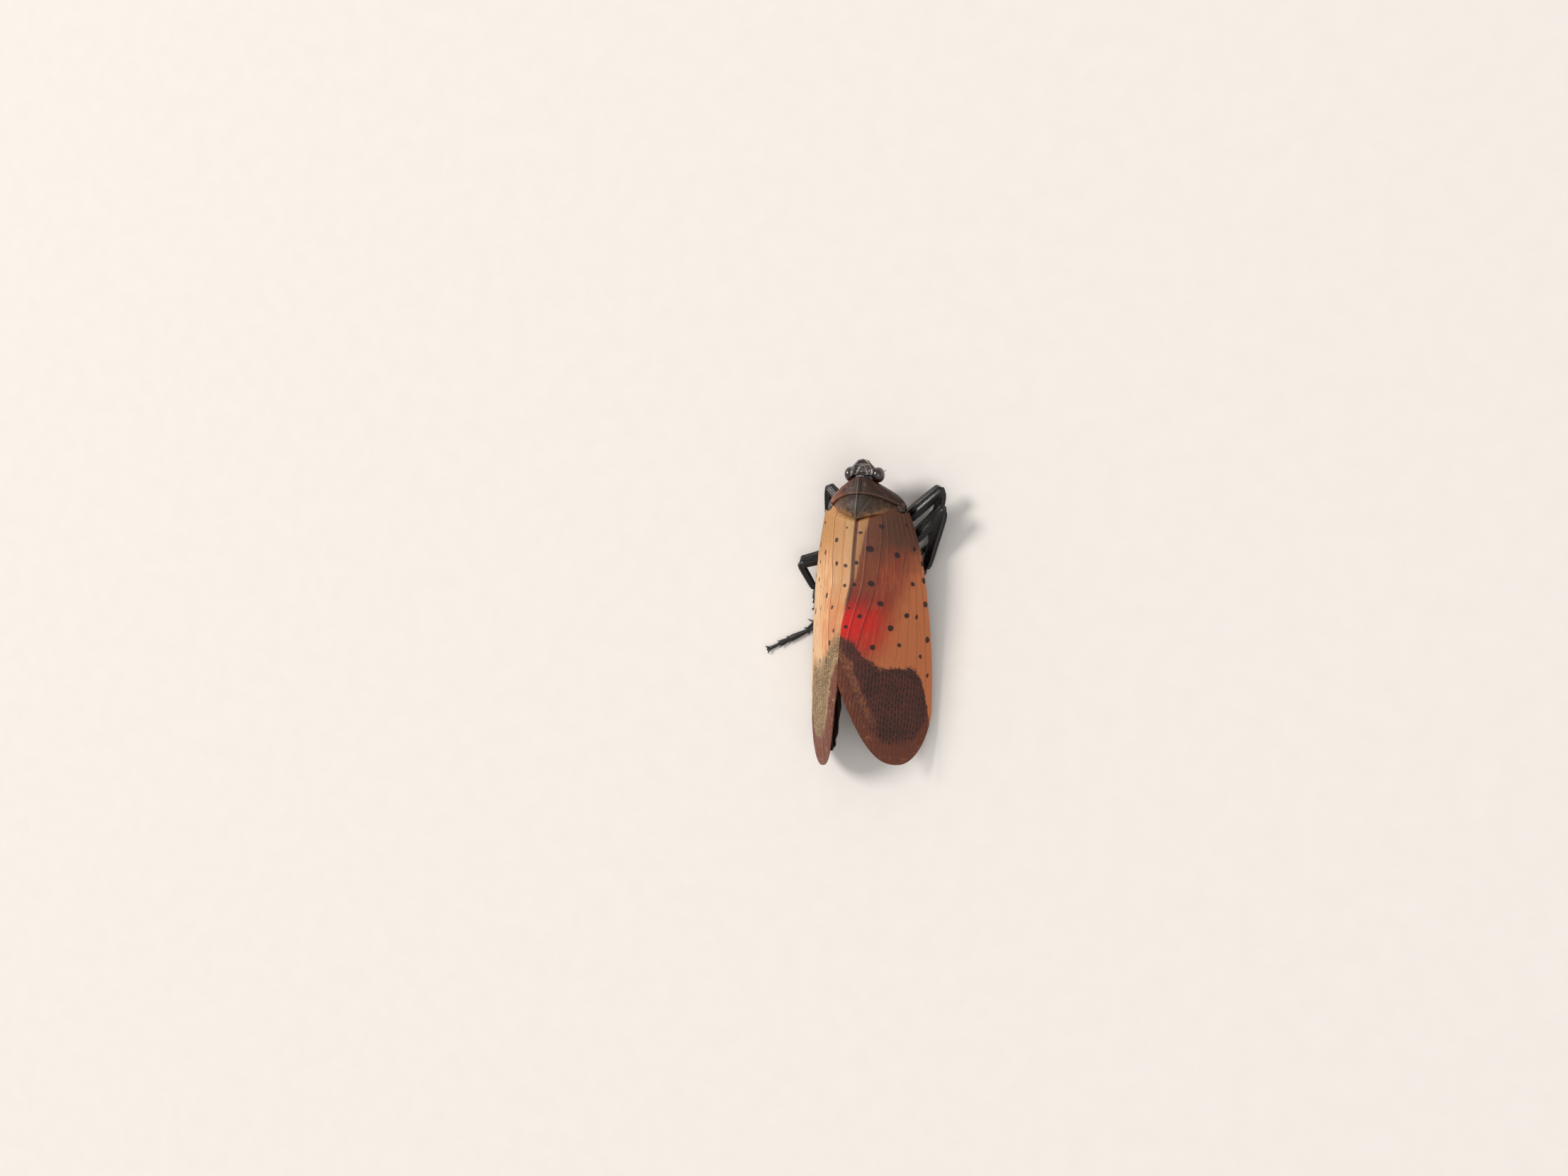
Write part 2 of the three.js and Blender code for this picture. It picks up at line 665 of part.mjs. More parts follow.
// Three foot joints, the first two with a crown of points, then two claws and a pad. The soles are flat.
function tarsus(name, leg) {
  const { ankle, toe } = leg;
  const thick = LEG_SIZES[legKind(name)].tarsus;
  const hind = legKind(name) === "hindleg";
  const start = inFrom(ankle, toe, 0.15);
  const along = toe.clone().sub(start).setZ(0).normalize();
  const out = v3(0, 0, 1).cross(along).normalize();
  start.z = 0.3;
  const at = (share) => start.clone().lerp(toe, share);
  const joint = (from, to, rear, front) => {
    return limb([at(from), at(to)], [[0, rear, rear], [0.85, front, front], [1, front * 0.8, front * 0.8]]);
  };
  const joints = [
    joint(0, 0.46, thick * 0.86, thick),
    joint(0.4, 0.68, thick * 0.75, thick),
    joint(0.62, 0.97, thick * 0.72, thick * 0.9),
  ];
  const pad = ellipsoid(at(0.97), v3(0.24, 0.24, 0.2), { wide: 8, high: 6 });
  const claws = [LEFT, RIGHT].map((side) => {
    const root = at(0.9).addScaledVector(out, side * 0.08);
    const tip = at(1.02).addScaledVector(out, side * 0.42).setZ(0.12);
    return spine(root, tip, 0.16, 4);
  });
  const spiny = hind ? [[0.46, 5], [0.68, 4]] : [];
  const crowns = spiny.flatMap(([share, count]) => crownSpines(at(share), along, count, 0.24, 0.5));
  const foot = fuse([...joints, pad, ...claws, ...crowns]);
  return cut(foot, tibia(name, leg, GAP), floorBlock());
}

// Everything below the soles.
function floorBlock() {
  const block = new THREE.BoxGeometry(60, 60, 4);
  block.translate(0, 0, SOLE_Z - 2 + 0.06);
  return solidOf(block);
}

function thorax() {
  const core = barrel(THORAX, { sides: 18 });
  const body = fuse([core, ...Object.values(LEGS).map((leg) => coxa(leg))]);
  return cut(body, backCutter(), roofCutter());
}

function abdomen() {
  const { startY, endY, rings, halfWidth, rise, fall, z, tipZ } = ABDOMEN;
  const stations = [];
  for (let k = 0; k < rings; k++) {
    const shape = (share) => {
      const full = Math.sin(Math.PI * (0.28 + 0.64 * share) ** 0.9) ** 0.7;
      return [halfWidth * full, rise * full, fall * full];
    };
    const from = k / rings;
    const to = (k + 1) / rings;
    const at = (share, step) => {
      const [wide, up, down] = shape(share);
      return [lerp(startY, endY, share), lerp(z, tipZ, share), wide * step, up * step, down * step];
    };
    stations.push(at(from + 0.01, 0.93), at(lerp(from, to, 0.3), 1), at(to - 0.01, 1.03));
  }
  const hips = [LEGS.hindleg_left, LEGS.hindleg_right].map((leg) => coxa(leg, GAP));
  return cut(barrel(stations, { sides: 14 }), roofCutter(), ...hips);
}

// The small scale over each forewing's hinge
const TEGULA = { centre: v3(3.3, -8.66, 3.62), half: v3(0.42, 0.5, 0.34) };
const TEGULA_TURN = v3(0, 0.75, 0);

function tegula(side, grow = 0) {
  const turn = mirroredTurn(TEGULA_TURN, side);
  return ellipsoid(mirrored(TEGULA.centre, side), TEGULA.half, { grow, turn, wide: 10, high: 8 });
}

// Assembly

const MATERIALS = {
  black: { color: 0x17110f, roughness: 0.32, metalness: 0 },
  brown: { color: 0x3a251c, roughness: 0.5, metalness: 0 },
  slate: { color: 0x33302f, roughness: 0.5, metalness: 0 },
  eye: { color: 0x1d0f0b, roughness: 0.15, metalness: 0 },
  orange: { color: 0xb4501c, roughness: 0.4, metalness: 0 },
  tan: { color: 0xd0a271, roughness: 0.55, metalness: 0 },
  russet: { color: 0x8c4a30, roughness: 0.55, metalness: 0 },
  red: { color: 0xa3221a, roughness: 0.6, metalness: 0 },
  yellow: { color: 0xc09a3c, roughness: 0.55, metalness: 0 },
};

function meshOf(name, solid, finish) {
  const { numProp, vertProperties, triVerts } = solid.getMesh();
  const positions = [];
  for (let i = 0; i < vertProperties.length; i += numProp) {
    positions.push(...vertProperties.subarray(i, i + 3));
  }
  const geometry = new THREE.BufferGeometry();
  geometry.setAttribute("position", new THREE.Float32BufferAttribute(positions, 3));
  geometry.setIndex(Array.from(triVerts));
  geometry.computeVertexNormals();
  const mesh = new THREE.Mesh(geometry, new THREE.MeshStandardMaterial(MATERIALS[finish]));
  mesh.name = name;
  return mesh;
}

const solids = [];
const add = (name, solid, finish) => solids.push({ name, solid, finish });

add("head", head(), "black");
add("rostrum", rostrum(), "brown");
const hinges = [LEFT, RIGHT].map((side) => tegula(side, GAP));
const eyes = [LEFT, RIGHT].map((side) => eye(side, GAP));
add("pronotum", cut(backPlate(pronotumPoint, 22, 5), ...hinges, ...eyes), "brown");
add("mesonotum", cut(backPlate(mesonotumPoint, 20, 5), ...hinges), "slate");
add("thorax", thorax(), "brown");
add("abdomen", abdomen(), "yellow");

for (const [word, side] of Object.entries(SIDES)) {
  add(`eye_${word}`, eye(side), "eye");
  add(`antenna_${word}`, antenna(side), "orange");
  add(`tegula_${word}`, tegula(side), "brown");
  add(`forewing_${word}`, cut(forewing(side), tegula(side, GAP)), side === LEFT ? "tan" : "russet");
  add(`hindwing_${word}`, hindwing(side), "red");
}

for (const [name, leg] of Object.entries(LEGS)) {
  add(`${name}_femur`, femur(name, leg), "black");
  add(`${name}_tibia`, tibia(name, leg), "black");
  add(`${name}_tarsus`, tarsus(name, leg), "black");
}

// The soles go to z = 0 and the middle of the box to x = y = 0.
const box = new THREE.Box3();
for (const { solid } of solids) {
  const { min, max } = solid.boundingBox();
  box.expandByPoint(v3(...min)).expandByPoint(v3(...max));
}
const middle = box.getCenter(v3(0, 0, 0));
const home = [-middle.x, -middle.y, -box.min.z];

const lanternfly = new THREE.Group();
for (const { name, solid, finish } of solids) lanternfly.add(meshOf(name, solid.translate(home), finish));

export default lanternfly;
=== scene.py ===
"""A spotted lanternfly at rest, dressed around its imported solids.

Forms are laid out in millimetres in the body's own frame: the head looks along -Y, +X is the insect's left
and +Z is up. Each finished piece is then moved into the part's frame, in metres.
"""
import logging
import math
from collections.abc import Callable
from dataclasses import dataclass, field
from enum import Enum
from typing import Protocol

import bpy
import numpy as np
from mathutils import Euler, Matrix, Vector


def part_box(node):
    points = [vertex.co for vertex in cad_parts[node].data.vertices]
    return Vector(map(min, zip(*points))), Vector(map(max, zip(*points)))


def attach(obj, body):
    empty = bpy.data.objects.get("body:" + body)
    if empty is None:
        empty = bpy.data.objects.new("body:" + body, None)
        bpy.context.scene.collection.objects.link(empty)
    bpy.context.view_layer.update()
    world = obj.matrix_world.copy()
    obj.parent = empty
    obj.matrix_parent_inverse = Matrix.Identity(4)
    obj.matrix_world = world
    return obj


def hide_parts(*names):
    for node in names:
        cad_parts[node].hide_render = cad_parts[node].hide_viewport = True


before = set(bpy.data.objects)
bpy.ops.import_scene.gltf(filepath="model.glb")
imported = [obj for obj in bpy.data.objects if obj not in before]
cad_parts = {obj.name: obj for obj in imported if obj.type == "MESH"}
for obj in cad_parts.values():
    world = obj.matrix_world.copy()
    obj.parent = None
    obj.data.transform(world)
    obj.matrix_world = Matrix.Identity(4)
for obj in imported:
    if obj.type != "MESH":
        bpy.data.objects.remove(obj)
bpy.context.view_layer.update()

log = logging.getLogger("lanternfly")

MM = 0.001
SOLE = 0.06  # height of the floor in the body's frame
VEIN_HIGH = 0.13  # the solids' vein crests stand this far over the wing's membrane
Rgb = tuple[float, float, float]
Socket = bpy.types.NodeSocket


class Side(Enum):
    """The insect's own left and right, with the sign of X there."""

    LEFT = 1
    RIGHT = -1

    @property
    def word(self) -> str:
        """The side's name as the nodes have it."""
        return self.name.lower()


def body_home() -> np.ndarray:
    """Finds the shift from the body's own frame to the part's, from where the pronotum stands.

    Returns:
        The shift in millimetres.
    """
    low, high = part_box("pronotum")
    return np.array([(low.x + high.x) / 2 / MM, low.y / MM - Back.neck_y, -SOLE])


def follow(stations: list[tuple], at: np.ndarray) -> np.ndarray:
    """Joins the values of stations smoothly.

    Args:
        stations: Rows of a place followed by the values there.
        at: The places to read.

    Returns:
        One row of values for each place.
    """
    table = np.array(stations, float)
    place, value = table[:, 0], table[:, 1:]
    at = np.atleast_1d(np.asarray(at, float))
    last = len(place) - 1
    k = np.clip(np.searchsorted(place, at, side="right") - 1, 0, last - 1)
    span = place[k + 1] - place[k]
    t = np.clip((at - place[k]) / span, 0, 1)[:, None]

    def slope(m: np.ndarray) -> np.ndarray:
        """The values' change over the span, read across station m."""
        low, high = np.clip(m - 1, 0, last), np.clip(m + 1, 0, last)
        return (span / (place[high] - place[low]))[:, None] * (value[high] - value[low])

    rest = (t - 1) * slope(k) + t * slope(k + 1)
    return value[k] + (value[k + 1] - value[k]) * t * t * (3 - 2 * t) + t * (t - 1) * rest


def lattice_noise(points: np.ndarray, size: float, seed: int = 1, octaves: int = 2) -> np.ndarray:
    """Gives smooth noise that is the same on every run.

    Args:
        points: Rows of coordinates.
        size: Width of the largest lumps, in the points' unit.
        seed: Picks one of many patterns.
        octaves: How many finer layers are added.

    Returns:
        A value of about -1 to 1 for each point.
    """
    total = np.zeros(len(points))
    weight = 1.0
    for octave in range(octaves):
        scaled = points * (2**octave / size) + 100.0
        cell = np.floor(scaled).astype(np.int64)
        inside = scaled - cell
        inside = inside * inside * (3 - 2 * inside)
        layer = np.zeros(len(points))
        for corner in np.ndindex(2, 2, 2):
            place = cell + np.array(corner)
            mixed = place @ np.array([374761393, 668265263, 2147483647]) + (seed + octave) * 1274126177
            mixed = (mixed ^ (mixed >> 13)) * 1103515245 & 0x7FFFFFFF
            level = ((mixed ^ (mixed >> 16)) & 0xFFFF) / 32767.5 - 1
            share = np.prod(np.where(np.array(corner) == 1, inside, 1 - inside), axis=1)
            layer += level * share
        total += weight * layer
        weight *= 0.5
    return total


def smooth_step(low: float, high: float, value: np.ndarray) -> np.ndarray:
    """Rises from 0 at low to 1 at high, with level ends."""
    t = np.clip((value - low) / (high - low), 0, 1)
    return t * t * (3 - 2 * t)


def unit(rows: np.ndarray) -> np.ndarray:
    """The rows of vectors at length 1."""
    return rows / np.linalg.norm(rows, axis=-1, keepdims=True).clip(1e-9)


@dataclass
class Form:
    """A mesh in the making, in millimetres, with values kept at its points for its finish to read."""

    points: np.ndarray
    quads: np.ndarray
    tris: np.ndarray = field(default_factory=lambda: np.zeros((0, 3), int))
    values: dict[str, np.ndarray] = field(default_factory=dict)

    def corners(self) -> np.ndarray:
        """The corners of all the faces as triangles."""
        return np.vstack([self.quads[:, [0, 1, 2]], self.quads[:, [0, 2, 3]], self.tris])

    def normals(self) -> np.ndarray:
        """Works out the outward way at each point.

        Returns:
            One unit vector for each point.
        """
        faces = self.corners()
        a, b, c = (self.points[faces[:, i]] for i in range(3))
        total = np.zeros_like(self.points)
        for i in range(3):
            np.add.at(total, faces[:, i], np.cross(b - a, c - a))
        return unit(total)

    def outward(self) -> "Form":
        """Turns the faces of a closed form to look outward.

        Returns:
            The form itself.
        """
        a, b, c = (self.points[self.corners()[:, i]] for i in range(3))
        if np.einsum("ij,ij->", a, np.cross(b, c)) < 0:
            self.quads = self.quads[:, ::-1]
            self.tris = self.tris[:, ::-1]
        return self

    def push(self, amount: np.ndarray) -> "Form":
        """Moves each point out along its normal by its own amount."""
        self.points = self.points + self.normals() * np.asarray(amount)[:, None]
        return self

    def distance_to(self, line: list[tuple]) -> np.ndarray:
        """Measures how far each point is from a line of straight stretches.

        Args:
            line: The line's points.

        Returns:
            One distance for each point.
        """
        nearest = np.full(len(self.points), np.inf)
        for start, end in zip(np.array(line[:-1], float), np.array(line[1:], float)):
            way = end - start
            share = np.clip((self.points - start) @ way / (way @ way), 0, 1)
            gap = np.linalg.norm(self.points - start - share[:, None] * way, axis=1)
            nearest = np.minimum(nearest, gap)
        return nearest

    def raise_along(self, lines: list[list[tuple]], width: float, height: float) -> "Form":
        """Raises keels along lines, and notes them in the value named ridge.

        Args:
            lines: The lines' points.
            width: Half width of a keel.
            height: Its height.

        Returns:
            The form itself.
        """
        gap = np.min([self.distance_to(line) for line in lines], axis=0)
        crest = np.exp(-((gap / width) ** 2))
        ridge = self.values.get("ridge", np.zeros(len(self.points)))
        self.values["ridge"] = np.maximum(ridge, crest)
        return self.push(height * crest)

    def roughen(self, size: float, depth: float, seed: int = 1, octaves: int = 3) -> "Form":
        """Adds low lumps to the surface."""
        return self.push(depth * lattice_noise(self.points, size, seed, octaves))

    def above_floor(self) -> "Form":
        """Flattens what would reach below the floor."""
        self.points[:, 2] = np.maximum(self.points[:, 2], SOLE)
        return self


def joined(forms: list[Form]) -> Form:
    """Puts several forms into one.

    Args:
        forms: The forms. A value that one of them lacks is 0 there.

    Returns:
        The joint form.
    """
    starts = np.cumsum([0] + [len(form.points) for form in forms])
    shapes = {name: value.shape[1:] for form in forms for name, value in form.values.items()}

    def gathered(name: str) -> np.ndarray:
        """One value of all the forms, in a row."""
        parts = [form.values.get(name, np.zeros((len(form.points), *shapes[name]))) for form in forms]
        return np.concatenate(parts)

    return Form(
        np.vstack([form.points for form in forms]),
        np.vstack([form.quads + start for form, start in zip(forms, starts)]),
        np.vstack([form.tris + start for form, start in zip(forms, starts)]),
        {name: gathered(name) for name in shapes},
    )


def grid_quads(rows: int, columns: int, closed: bool = False) -> np.ndarray:
    """Lists the faces of a grid of points.

    Args:
        rows: Points along the first way.
        columns: Points along the second way.
        closed: Whether the last column joins the first.

    Returns:
        Four point numbers for each face.
    """
    r, c = np.meshgrid(np.arange(rows - 1), np.arange(columns if closed else columns - 1), indexing="ij")
    a, b = r * columns + c, r * columns + (c + 1) % columns
    return np.stack([a, b, b + columns, a + columns], -1).reshape(-1, 4)


def lofted(rings: np.ndarray) -> Form:
    """Skins closed rings of points, with a fan over each end.

    Args:
        rings: Points by ring and by place round the ring.

    Returns:
        The closed form.
    """
    count, around = rings.shape[:2]
    poles = np.stack([rings[0].mean(0), rings[-1].mean(0)])
    points = np.vstack([rings.reshape(-1, 3), poles])
    here, after = np.arange(around), (np.arange(around) + 1) % around
    end = (count - 1) * around
    tris = np.vstack(
        [
            np.stack([after, here, np.full(around, len(points) - 2)], -1),
            np.stack([here + end, after + end, np.full(around, len(points) - 1)], -1),
        ]
    )
    return Form(points, grid_quads(count, around, closed=True), tris).outward()


def plate(outer: np.ndarray, inner: np.ndarray, values: dict[str, np.ndarray] | None = None) -> Form:
    """Makes a closed plate from its two faces.

    Args:
        outer: Points of the outer face by row and column.
        inner: The matching points of the inner face.
        values: Values at the grid's points, the same on both faces.

    Returns:
        The closed form.
    """
    rows, columns = outer.shape[:2]
    faces = grid_quads(rows, columns)
    top = np.arange(columns)
    side = np.arange(rows) * columns
    border = np.concatenate([top, side[1:] + columns - 1, top[-2::-1] + (rows - 1) * columns, side[-2:0:-1]])
    after = np.roll(border, -1)
    below = rows * columns
    rim = np.stack([border, border + below, after + below, after], -1)
    kept = {name: np.concatenate([v.reshape(below, *v.shape[2:])] * 2) for name, v in (values or {}).items()}
    points = np.vstack([outer.reshape(-1, 3), inner.reshape(-1, 3)])
    return Form(points, np.vstack([faces, faces[:, ::-1] + below, rim[:, ::-1]]), values=kept).outward()


def ellipsoid(centre: tuple, half: tuple, turn: tuple = (0, 0, 0), rings: int = 48, around: int = 64) -> Form:
    """Makes a ball with three half widths.

    Args:
        centre: Its middle.
        half: Half widths before the turn.
        turn: Angles about X, Y and Z, taken in the order of the solids.
        rings: Rings from pole to pole.
        around: Points round each ring.

    Returns:
        The closed form, with its local height kept as the value named height.
    """
    polar = np.linspace(0.04, math.pi - 0.04, rings)[:, None]
    angle = np.linspace(0, 2 * math.pi, around, endpoint=False)[None, :]
    level, reach = np.cos(polar) + 0 * angle, np.sin(polar)
    ball = np.stack([reach * np.cos(angle), reach * np.sin(angle), level], -1)
    spin = np.array(Euler(turn, "ZYX").to_matrix())
    form = lofted(ball * np.array(half) @ spin.T + np.array(centre))
    form.values["height"] = np.append(level.ravel(), [1.0, -1.0])
    return form


@dataclass
class Limb:
    """A long piece along a smooth line, with keels that run along it.

    Each station is a share of the length, the half width and the half depth there.
    """

    path: list[tuple]
    stations: list[tuple]
    keels: tuple[float, ...] = ()
    keel_depth: float = 0.1
    power: float = 2.3
    rings: int = 64
    around: int = 40

    def frames(self, share: np.ndarray) -> tuple[np.ndarray, ...]:
        """Reads the limb at shares of its length.

        Args:
            share: Shares from 0 to 1.

        Returns:
            The middles, the ways along, across and up, and the half widths and depths.
        """
        path = np.array(self.path, float)
        lengths = np.append(0, np.cumsum(np.linalg.norm(np.diff(path, axis=0), axis=1)))
        rows = [(place, *point) for place, point in zip(lengths / lengths[-1], path)]
        share = np.atleast_1d(share)
        step = 1e-3
        before, behind = np.clip(share - step, 0, 1), np.clip(share + step, 0, 1)
        along = unit(follow(rows, behind) - follow(rows, before))
        across = unit(np.cross(np.array([0.0, 0.0, 1.0]), along))
        up = np.cross(along, across)
        width, depth = follow(self.stations, share).T
        return follow(rows, share), along, across, up, width, depth

    def section(self, angle: np.ndarray) -> tuple[np.ndarray, np.ndarray]:
        """Gives the outline of the cross section, with its keels.

        Args:
            angle: Angles round the limb.

        Returns:
            The places across and up, about 1 at most.
        """
        c, s = np.cos(angle), np.sin(angle)
        x = np.sign(c) * np.abs(c) ** (2 / self.power)
        z = np.sign(s) * np.abs(s) ** (2 / self.power)
        scale = np.ones_like(angle)
        if self.keels:
            turn = angle[:, None] - np.radians(self.keels)[None, :]
            nearest = np.abs((turn + math.pi) % (2 * math.pi) - math.pi).min(1)
            scale = 1 - self.keel_depth * (1 - np.exp(-((nearest / 0.22) ** 2)))
        return x * scale, z * scale

    def form(self) -> Form:
        """Builds the limb's skin with rounded ends.

        Returns:
            The closed form, with the share of its length kept as the value named share.
        """
        share = (1 - np.cos(np.linspace(0.0, math.pi, self.rings))) / 2
        middle, _, across, up, width, depth = self.frames(share)
        length = np.linalg.norm(np.diff(np.array(self.path, float), axis=0), axis=1).sum()
        cap = min(0.45, 0.9 * float(depth.mean()) / length)
        end = np.minimum(1, np.minimum(share, 1 - share) / cap)
        round_off = np.sqrt(1 - (1 - end) ** 2).clip(0.02)
        angle = np.linspace(0, 2 * math.pi, self.around, endpoint=False)
        x, z = self.section(angle)
        wide = (width * round_off)[:, None, None] * x[None, :, None] * across[:, None, :]
        high = (depth * round_off)[:, None, None] * z[None, :, None] * up[:, None, :]
        form = lofted(middle[:, None, :] + wide + high)
        form.values["share"] = np.append(np.repeat(share, self.around), [0.0, 1.0])
        if self.keels:
            crest = (np.hypot(x, z) / np.hypot(*Limb([], [], power=self.power).section(angle))).clip(0, 1)
            crest = smooth_step(1 - 0.4 * self.keel_depth, 1, crest)
            form.values["ridge"] = np.append(np.tile(crest, self.rings), [0.0, 0.0])
        return form

    def bristles(self, angles: tuple[float, ...], gap: float, length: float, seed: int) -> list[Form]:
        """Sets rows of short hairs on the limb.

        Args:
            angles: Where the rows are round the limb, in degrees.
            gap: Distance between hairs.
            length: Their length.
            seed: Picks how they vary.

        Returns:
            The hairs.
        """
        draw = np.random.default_rng(seed)
        total = np.linalg.norm(np.diff(np.array(self.path, float), axis=0), axis=1).sum()
        hairs = []
        for degrees in angles:
            for place in np.arange(0.12, 0.94, gap / total):
                share = place + draw.uniform(-0.3, 0.3) * gap / total
                middle, along, across, up, width, depth = (v[0] for v in self.frames(np.array([share])))
                x, z = (float(v[0]) for v in self.section(np.radians([degrees + draw.uniform(-6, 6)])))
                root = middle + across * width * x * 0.94 + up * depth * z * 0.94
                out = unit(across * x * depth + up * z * width)
                tip = root + (out * 0.62 + along * 0.78) * length * draw.uniform(0.7, 1.2)
                hairs.append(spike(root, tip, 0.014, bend=0.05 * length))
        return hairs


def spike(root: np.ndarray, tip: np.ndarray, radius: float, bend: float = 0.0, around: int = 8) -> Form:
    """Makes a tapered spine or hair, a little curved.

    Args:
        root: Where it starts.
        tip: Where it ends.
        radius: Its radius at the root.
        bend: How far its middle lies above the straight line.
        around: Points round it.

    Returns:
        The closed form.
    """
    root, tip = np.asarray(root, float), np.asarray(tip, float)
    middle = (root + tip) / 2 + np.array([0, 0, bend])
    stations = [(0, radius, radius), (0.5, radius * 0.68, radius * 0.68), (1, radius * 0.12, radius * 0.12)]
    return Limb([root, middle, tip], stations, rings=9, around=around, power=2).form()


def refined(node: str, voxel: float, smoothing: int, home: np.ndarray) -> Form:
    """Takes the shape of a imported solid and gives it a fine, even mesh with its edges rounded.

    Args:
        node: The solid's node.
        voxel: Width of the mesh's faces.
        smoothing: Rounds of smoothing.
        home: The shift from the body's frame to the part's.

    Returns:
        The fine form, in the body's frame.
    """
    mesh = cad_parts[node].data.copy()
    mesh.transform(Matrix.Scale(1 / MM, 4))
    worker = bpy.data.objects.new("worker", mesh)
    bpy.context.scene.collection.objects.link(worker)
    remesh = worker.modifiers.new("even", "REMESH")
    remesh.mode, remesh.voxel_size = "VOXEL", voxel
    smooth = worker.modifiers.new("round", "SMOOTH")
    smooth.factor, smooth.iterations = 0.5, smoothing
    made = bpy.data.meshes.new_from_object(worker.evaluated_get(bpy.context.evaluated_depsgraph_get()))
    points = np.zeros(len(made.vertices) * 3)
    made.vertices.foreach_get("co", points)
    sides = np.array([len(face.vertices) for face in made.polygons])
    faces = [list(face.vertices) for face in made.polygons]
    quads = np.array([f for f, n in zip(faces, sides) if n == 4], int).reshape(-1, 4)
    tris = np.array([f for f, n in zip(faces, sides) if n == 3], int).reshape(-1, 3)
    bpy.data.objects.remove(worker)
    bpy.data.meshes.remove(made)
    return Form(points.reshape(-1, 3) - home, quads, tris).outward()


def srgb(red: float, green: float, blue: float) -> tuple[float, float, float, float]:
    """Turns a colour as a screen shows it, 0 to 255, into the linear one that shaders take.

    Args:
        red: Red part.
        green: Green part.
        blue: Blue part.

    Returns:
        The linear colour with full opacity.
    """
    parts = (part / 255 for part in (red, green, blue))
    return (*(part / 12.92 if part <= 0.04045 else ((part + 0.055) / 1.055) ** 2.4 for part in parts), 1.0)


class Wiring:
    """Sets up one material and wires its nodes. Lengths are in millimetres."""

    def __init__(self, name: str, **constants: float) -> None:
        """Starts the material.

        Args:
            name: The material's name.
            constants: Values for the shader's own sockets, with _ for a space.
        """
        self.material = bpy.data.materials.new(name)
        self.material.use_nodes = True
        self.tree = self.material.node_tree
        self.shader = self.tree.nodes["Principled BSDF"]
        for socket, value in constants.items():
            self.shader.inputs[socket.replace("_", " ")].default_value = value
        metres = self.node("ShaderNodeTexCoord").outputs["Object"]
        self.place = self.scaled(metres, (1 / MM,) * 3)

    def node(self, kind: str, inputs: dict | None = None, **settings: object) -> bpy.types.Node:
        """Adds a node.

        Args:
            kind: Blender's name of the node.
            inputs: Sockets or values for its inputs, by name or number.
            settings: Its own options.

        Returns:
            The node.
        """
        made = self.tree.nodes.new(kind)
        for key, value in settings.items():
            setattr(made, key, value)
        for key, value in (inputs or {}).items():
            if isinstance(value, Socket):
                self.tree.links.new(value, made.inputs[key])
            else:
                made.inputs[key].default_value = value
        return made

    def scaled(self, place: Socket, factors: tuple) -> Socket:
        """A place with each of its parts multiplied."""
        return self.node("ShaderNodeVectorMath", {0: place, 1: factors}, operation="MULTIPLY").outputs[0]

    def value(self, name: str) -> Socket:
        """The value that the mesh keeps under a name."""
        return self.node("ShaderNodeAttribute", attribute_name=name).outputs["Fac"]

    def axes(self, name: str) -> list[Socket]:
        """The three parts of a place that the mesh keeps under a name."""
        kept = self.node("ShaderNodeAttribute", attribute_name=name).outputs["Vector"]
        return list(self.node("ShaderNodeSeparateXYZ", {0: kept}).outputs)

    def maths(self, operation: str, a: Socket | float, b: Socket | float = 0.0) -> Socket:
        """The result of a sum."""
        return self.node("ShaderNodeMath", {0: a, 1: b}, operation=operation).outputs[0]

    def times(self, a: Socket | float, b: Socket | float) -> Socket:
        """One value times another."""
        return self.maths("MULTIPLY", a, b)

    def plus(self, a: Socket | float, b: Socket | float) -> Socket:
        """One value added to another."""
        return self.maths("ADD", a, b)

    def step(self, value: Socket, low: float, high: float, to: float = 1.0) -> Socket:
        """Rises smoothly from 0 where the value is low to a level where it is high; low may be the larger.

        Args:
            value: What is read.
            low: Where the result is 0.
            high: Where the result is full.
            to: The full level.

        Returns:
            The result.
        """
        inputs = {"Value": value, "From Min": low, "From Max": high, "To Min": 0.0, "To Max": to}
        return self.node("ShaderNodeMapRange", inputs, interpolation_type="SMOOTHSTEP").outputs[0]

    def noise(
        self, size: float, detail: float = 3.0, stretch: tuple = (1, 1, 1), place: Socket | None = None
    ) -> Socket:
        """Adds smooth noise of about -1 to 1.

        Args:
            size: Width of its lumps.
            detail: Finer layers.
            stretch: How much longer the lumps are along each axis.
            place: Where it is read, if not at the surface's own place.

        Returns:
            The noise.
        """
        read = self.scaled(place or self.place, tuple(1 / part for part in stretch))
        made = self.node("ShaderNodeTexNoise", {"Vector": read, "Scale": 1 / size, "Detail": detail})
        spread = {"Value": made.outputs[0], "From Min": 0.25, "From Max": 0.75, "To Min": -1.0}
        return self.node("ShaderNodeMapRange", spread).outputs[0]

    def cells(self, size: float, feature: str = "F1", place: Socket | None = None) -> Socket:
        """Adds a pattern of cells.

        Args:
            size: Width of a cell.
            feature: Which distance to give, as Blender names it.
            place: Where it is read, if not at the surface's own place.

        Returns:
            The distance as a share of a cell.
        """
        inputs = {"Vector": place or self.place, "Scale": 1 / size}
        return self.node("ShaderNodeTexVoronoi", inputs, feature=feature).outputs["Distance"]

    def vector(self, x: Socket | float, y: Socket | float, z: Socket | float = 0.0) -> Socket:
        """A place from its three parts."""
        return self.node("ShaderNodeCombineXYZ", {0: x, 1: y, 2: z}).outputs[0]

    def mix(self, factor: Socket | float, a: Socket | tuple, b: Socket | tuple) -> Socket:
        """The first colour where the factor is 0 and the second where it is 1."""
        return self.node("ShaderNodeMix", {0: factor, 6: a, 7: b}, data_type="RGBA").outputs[2]

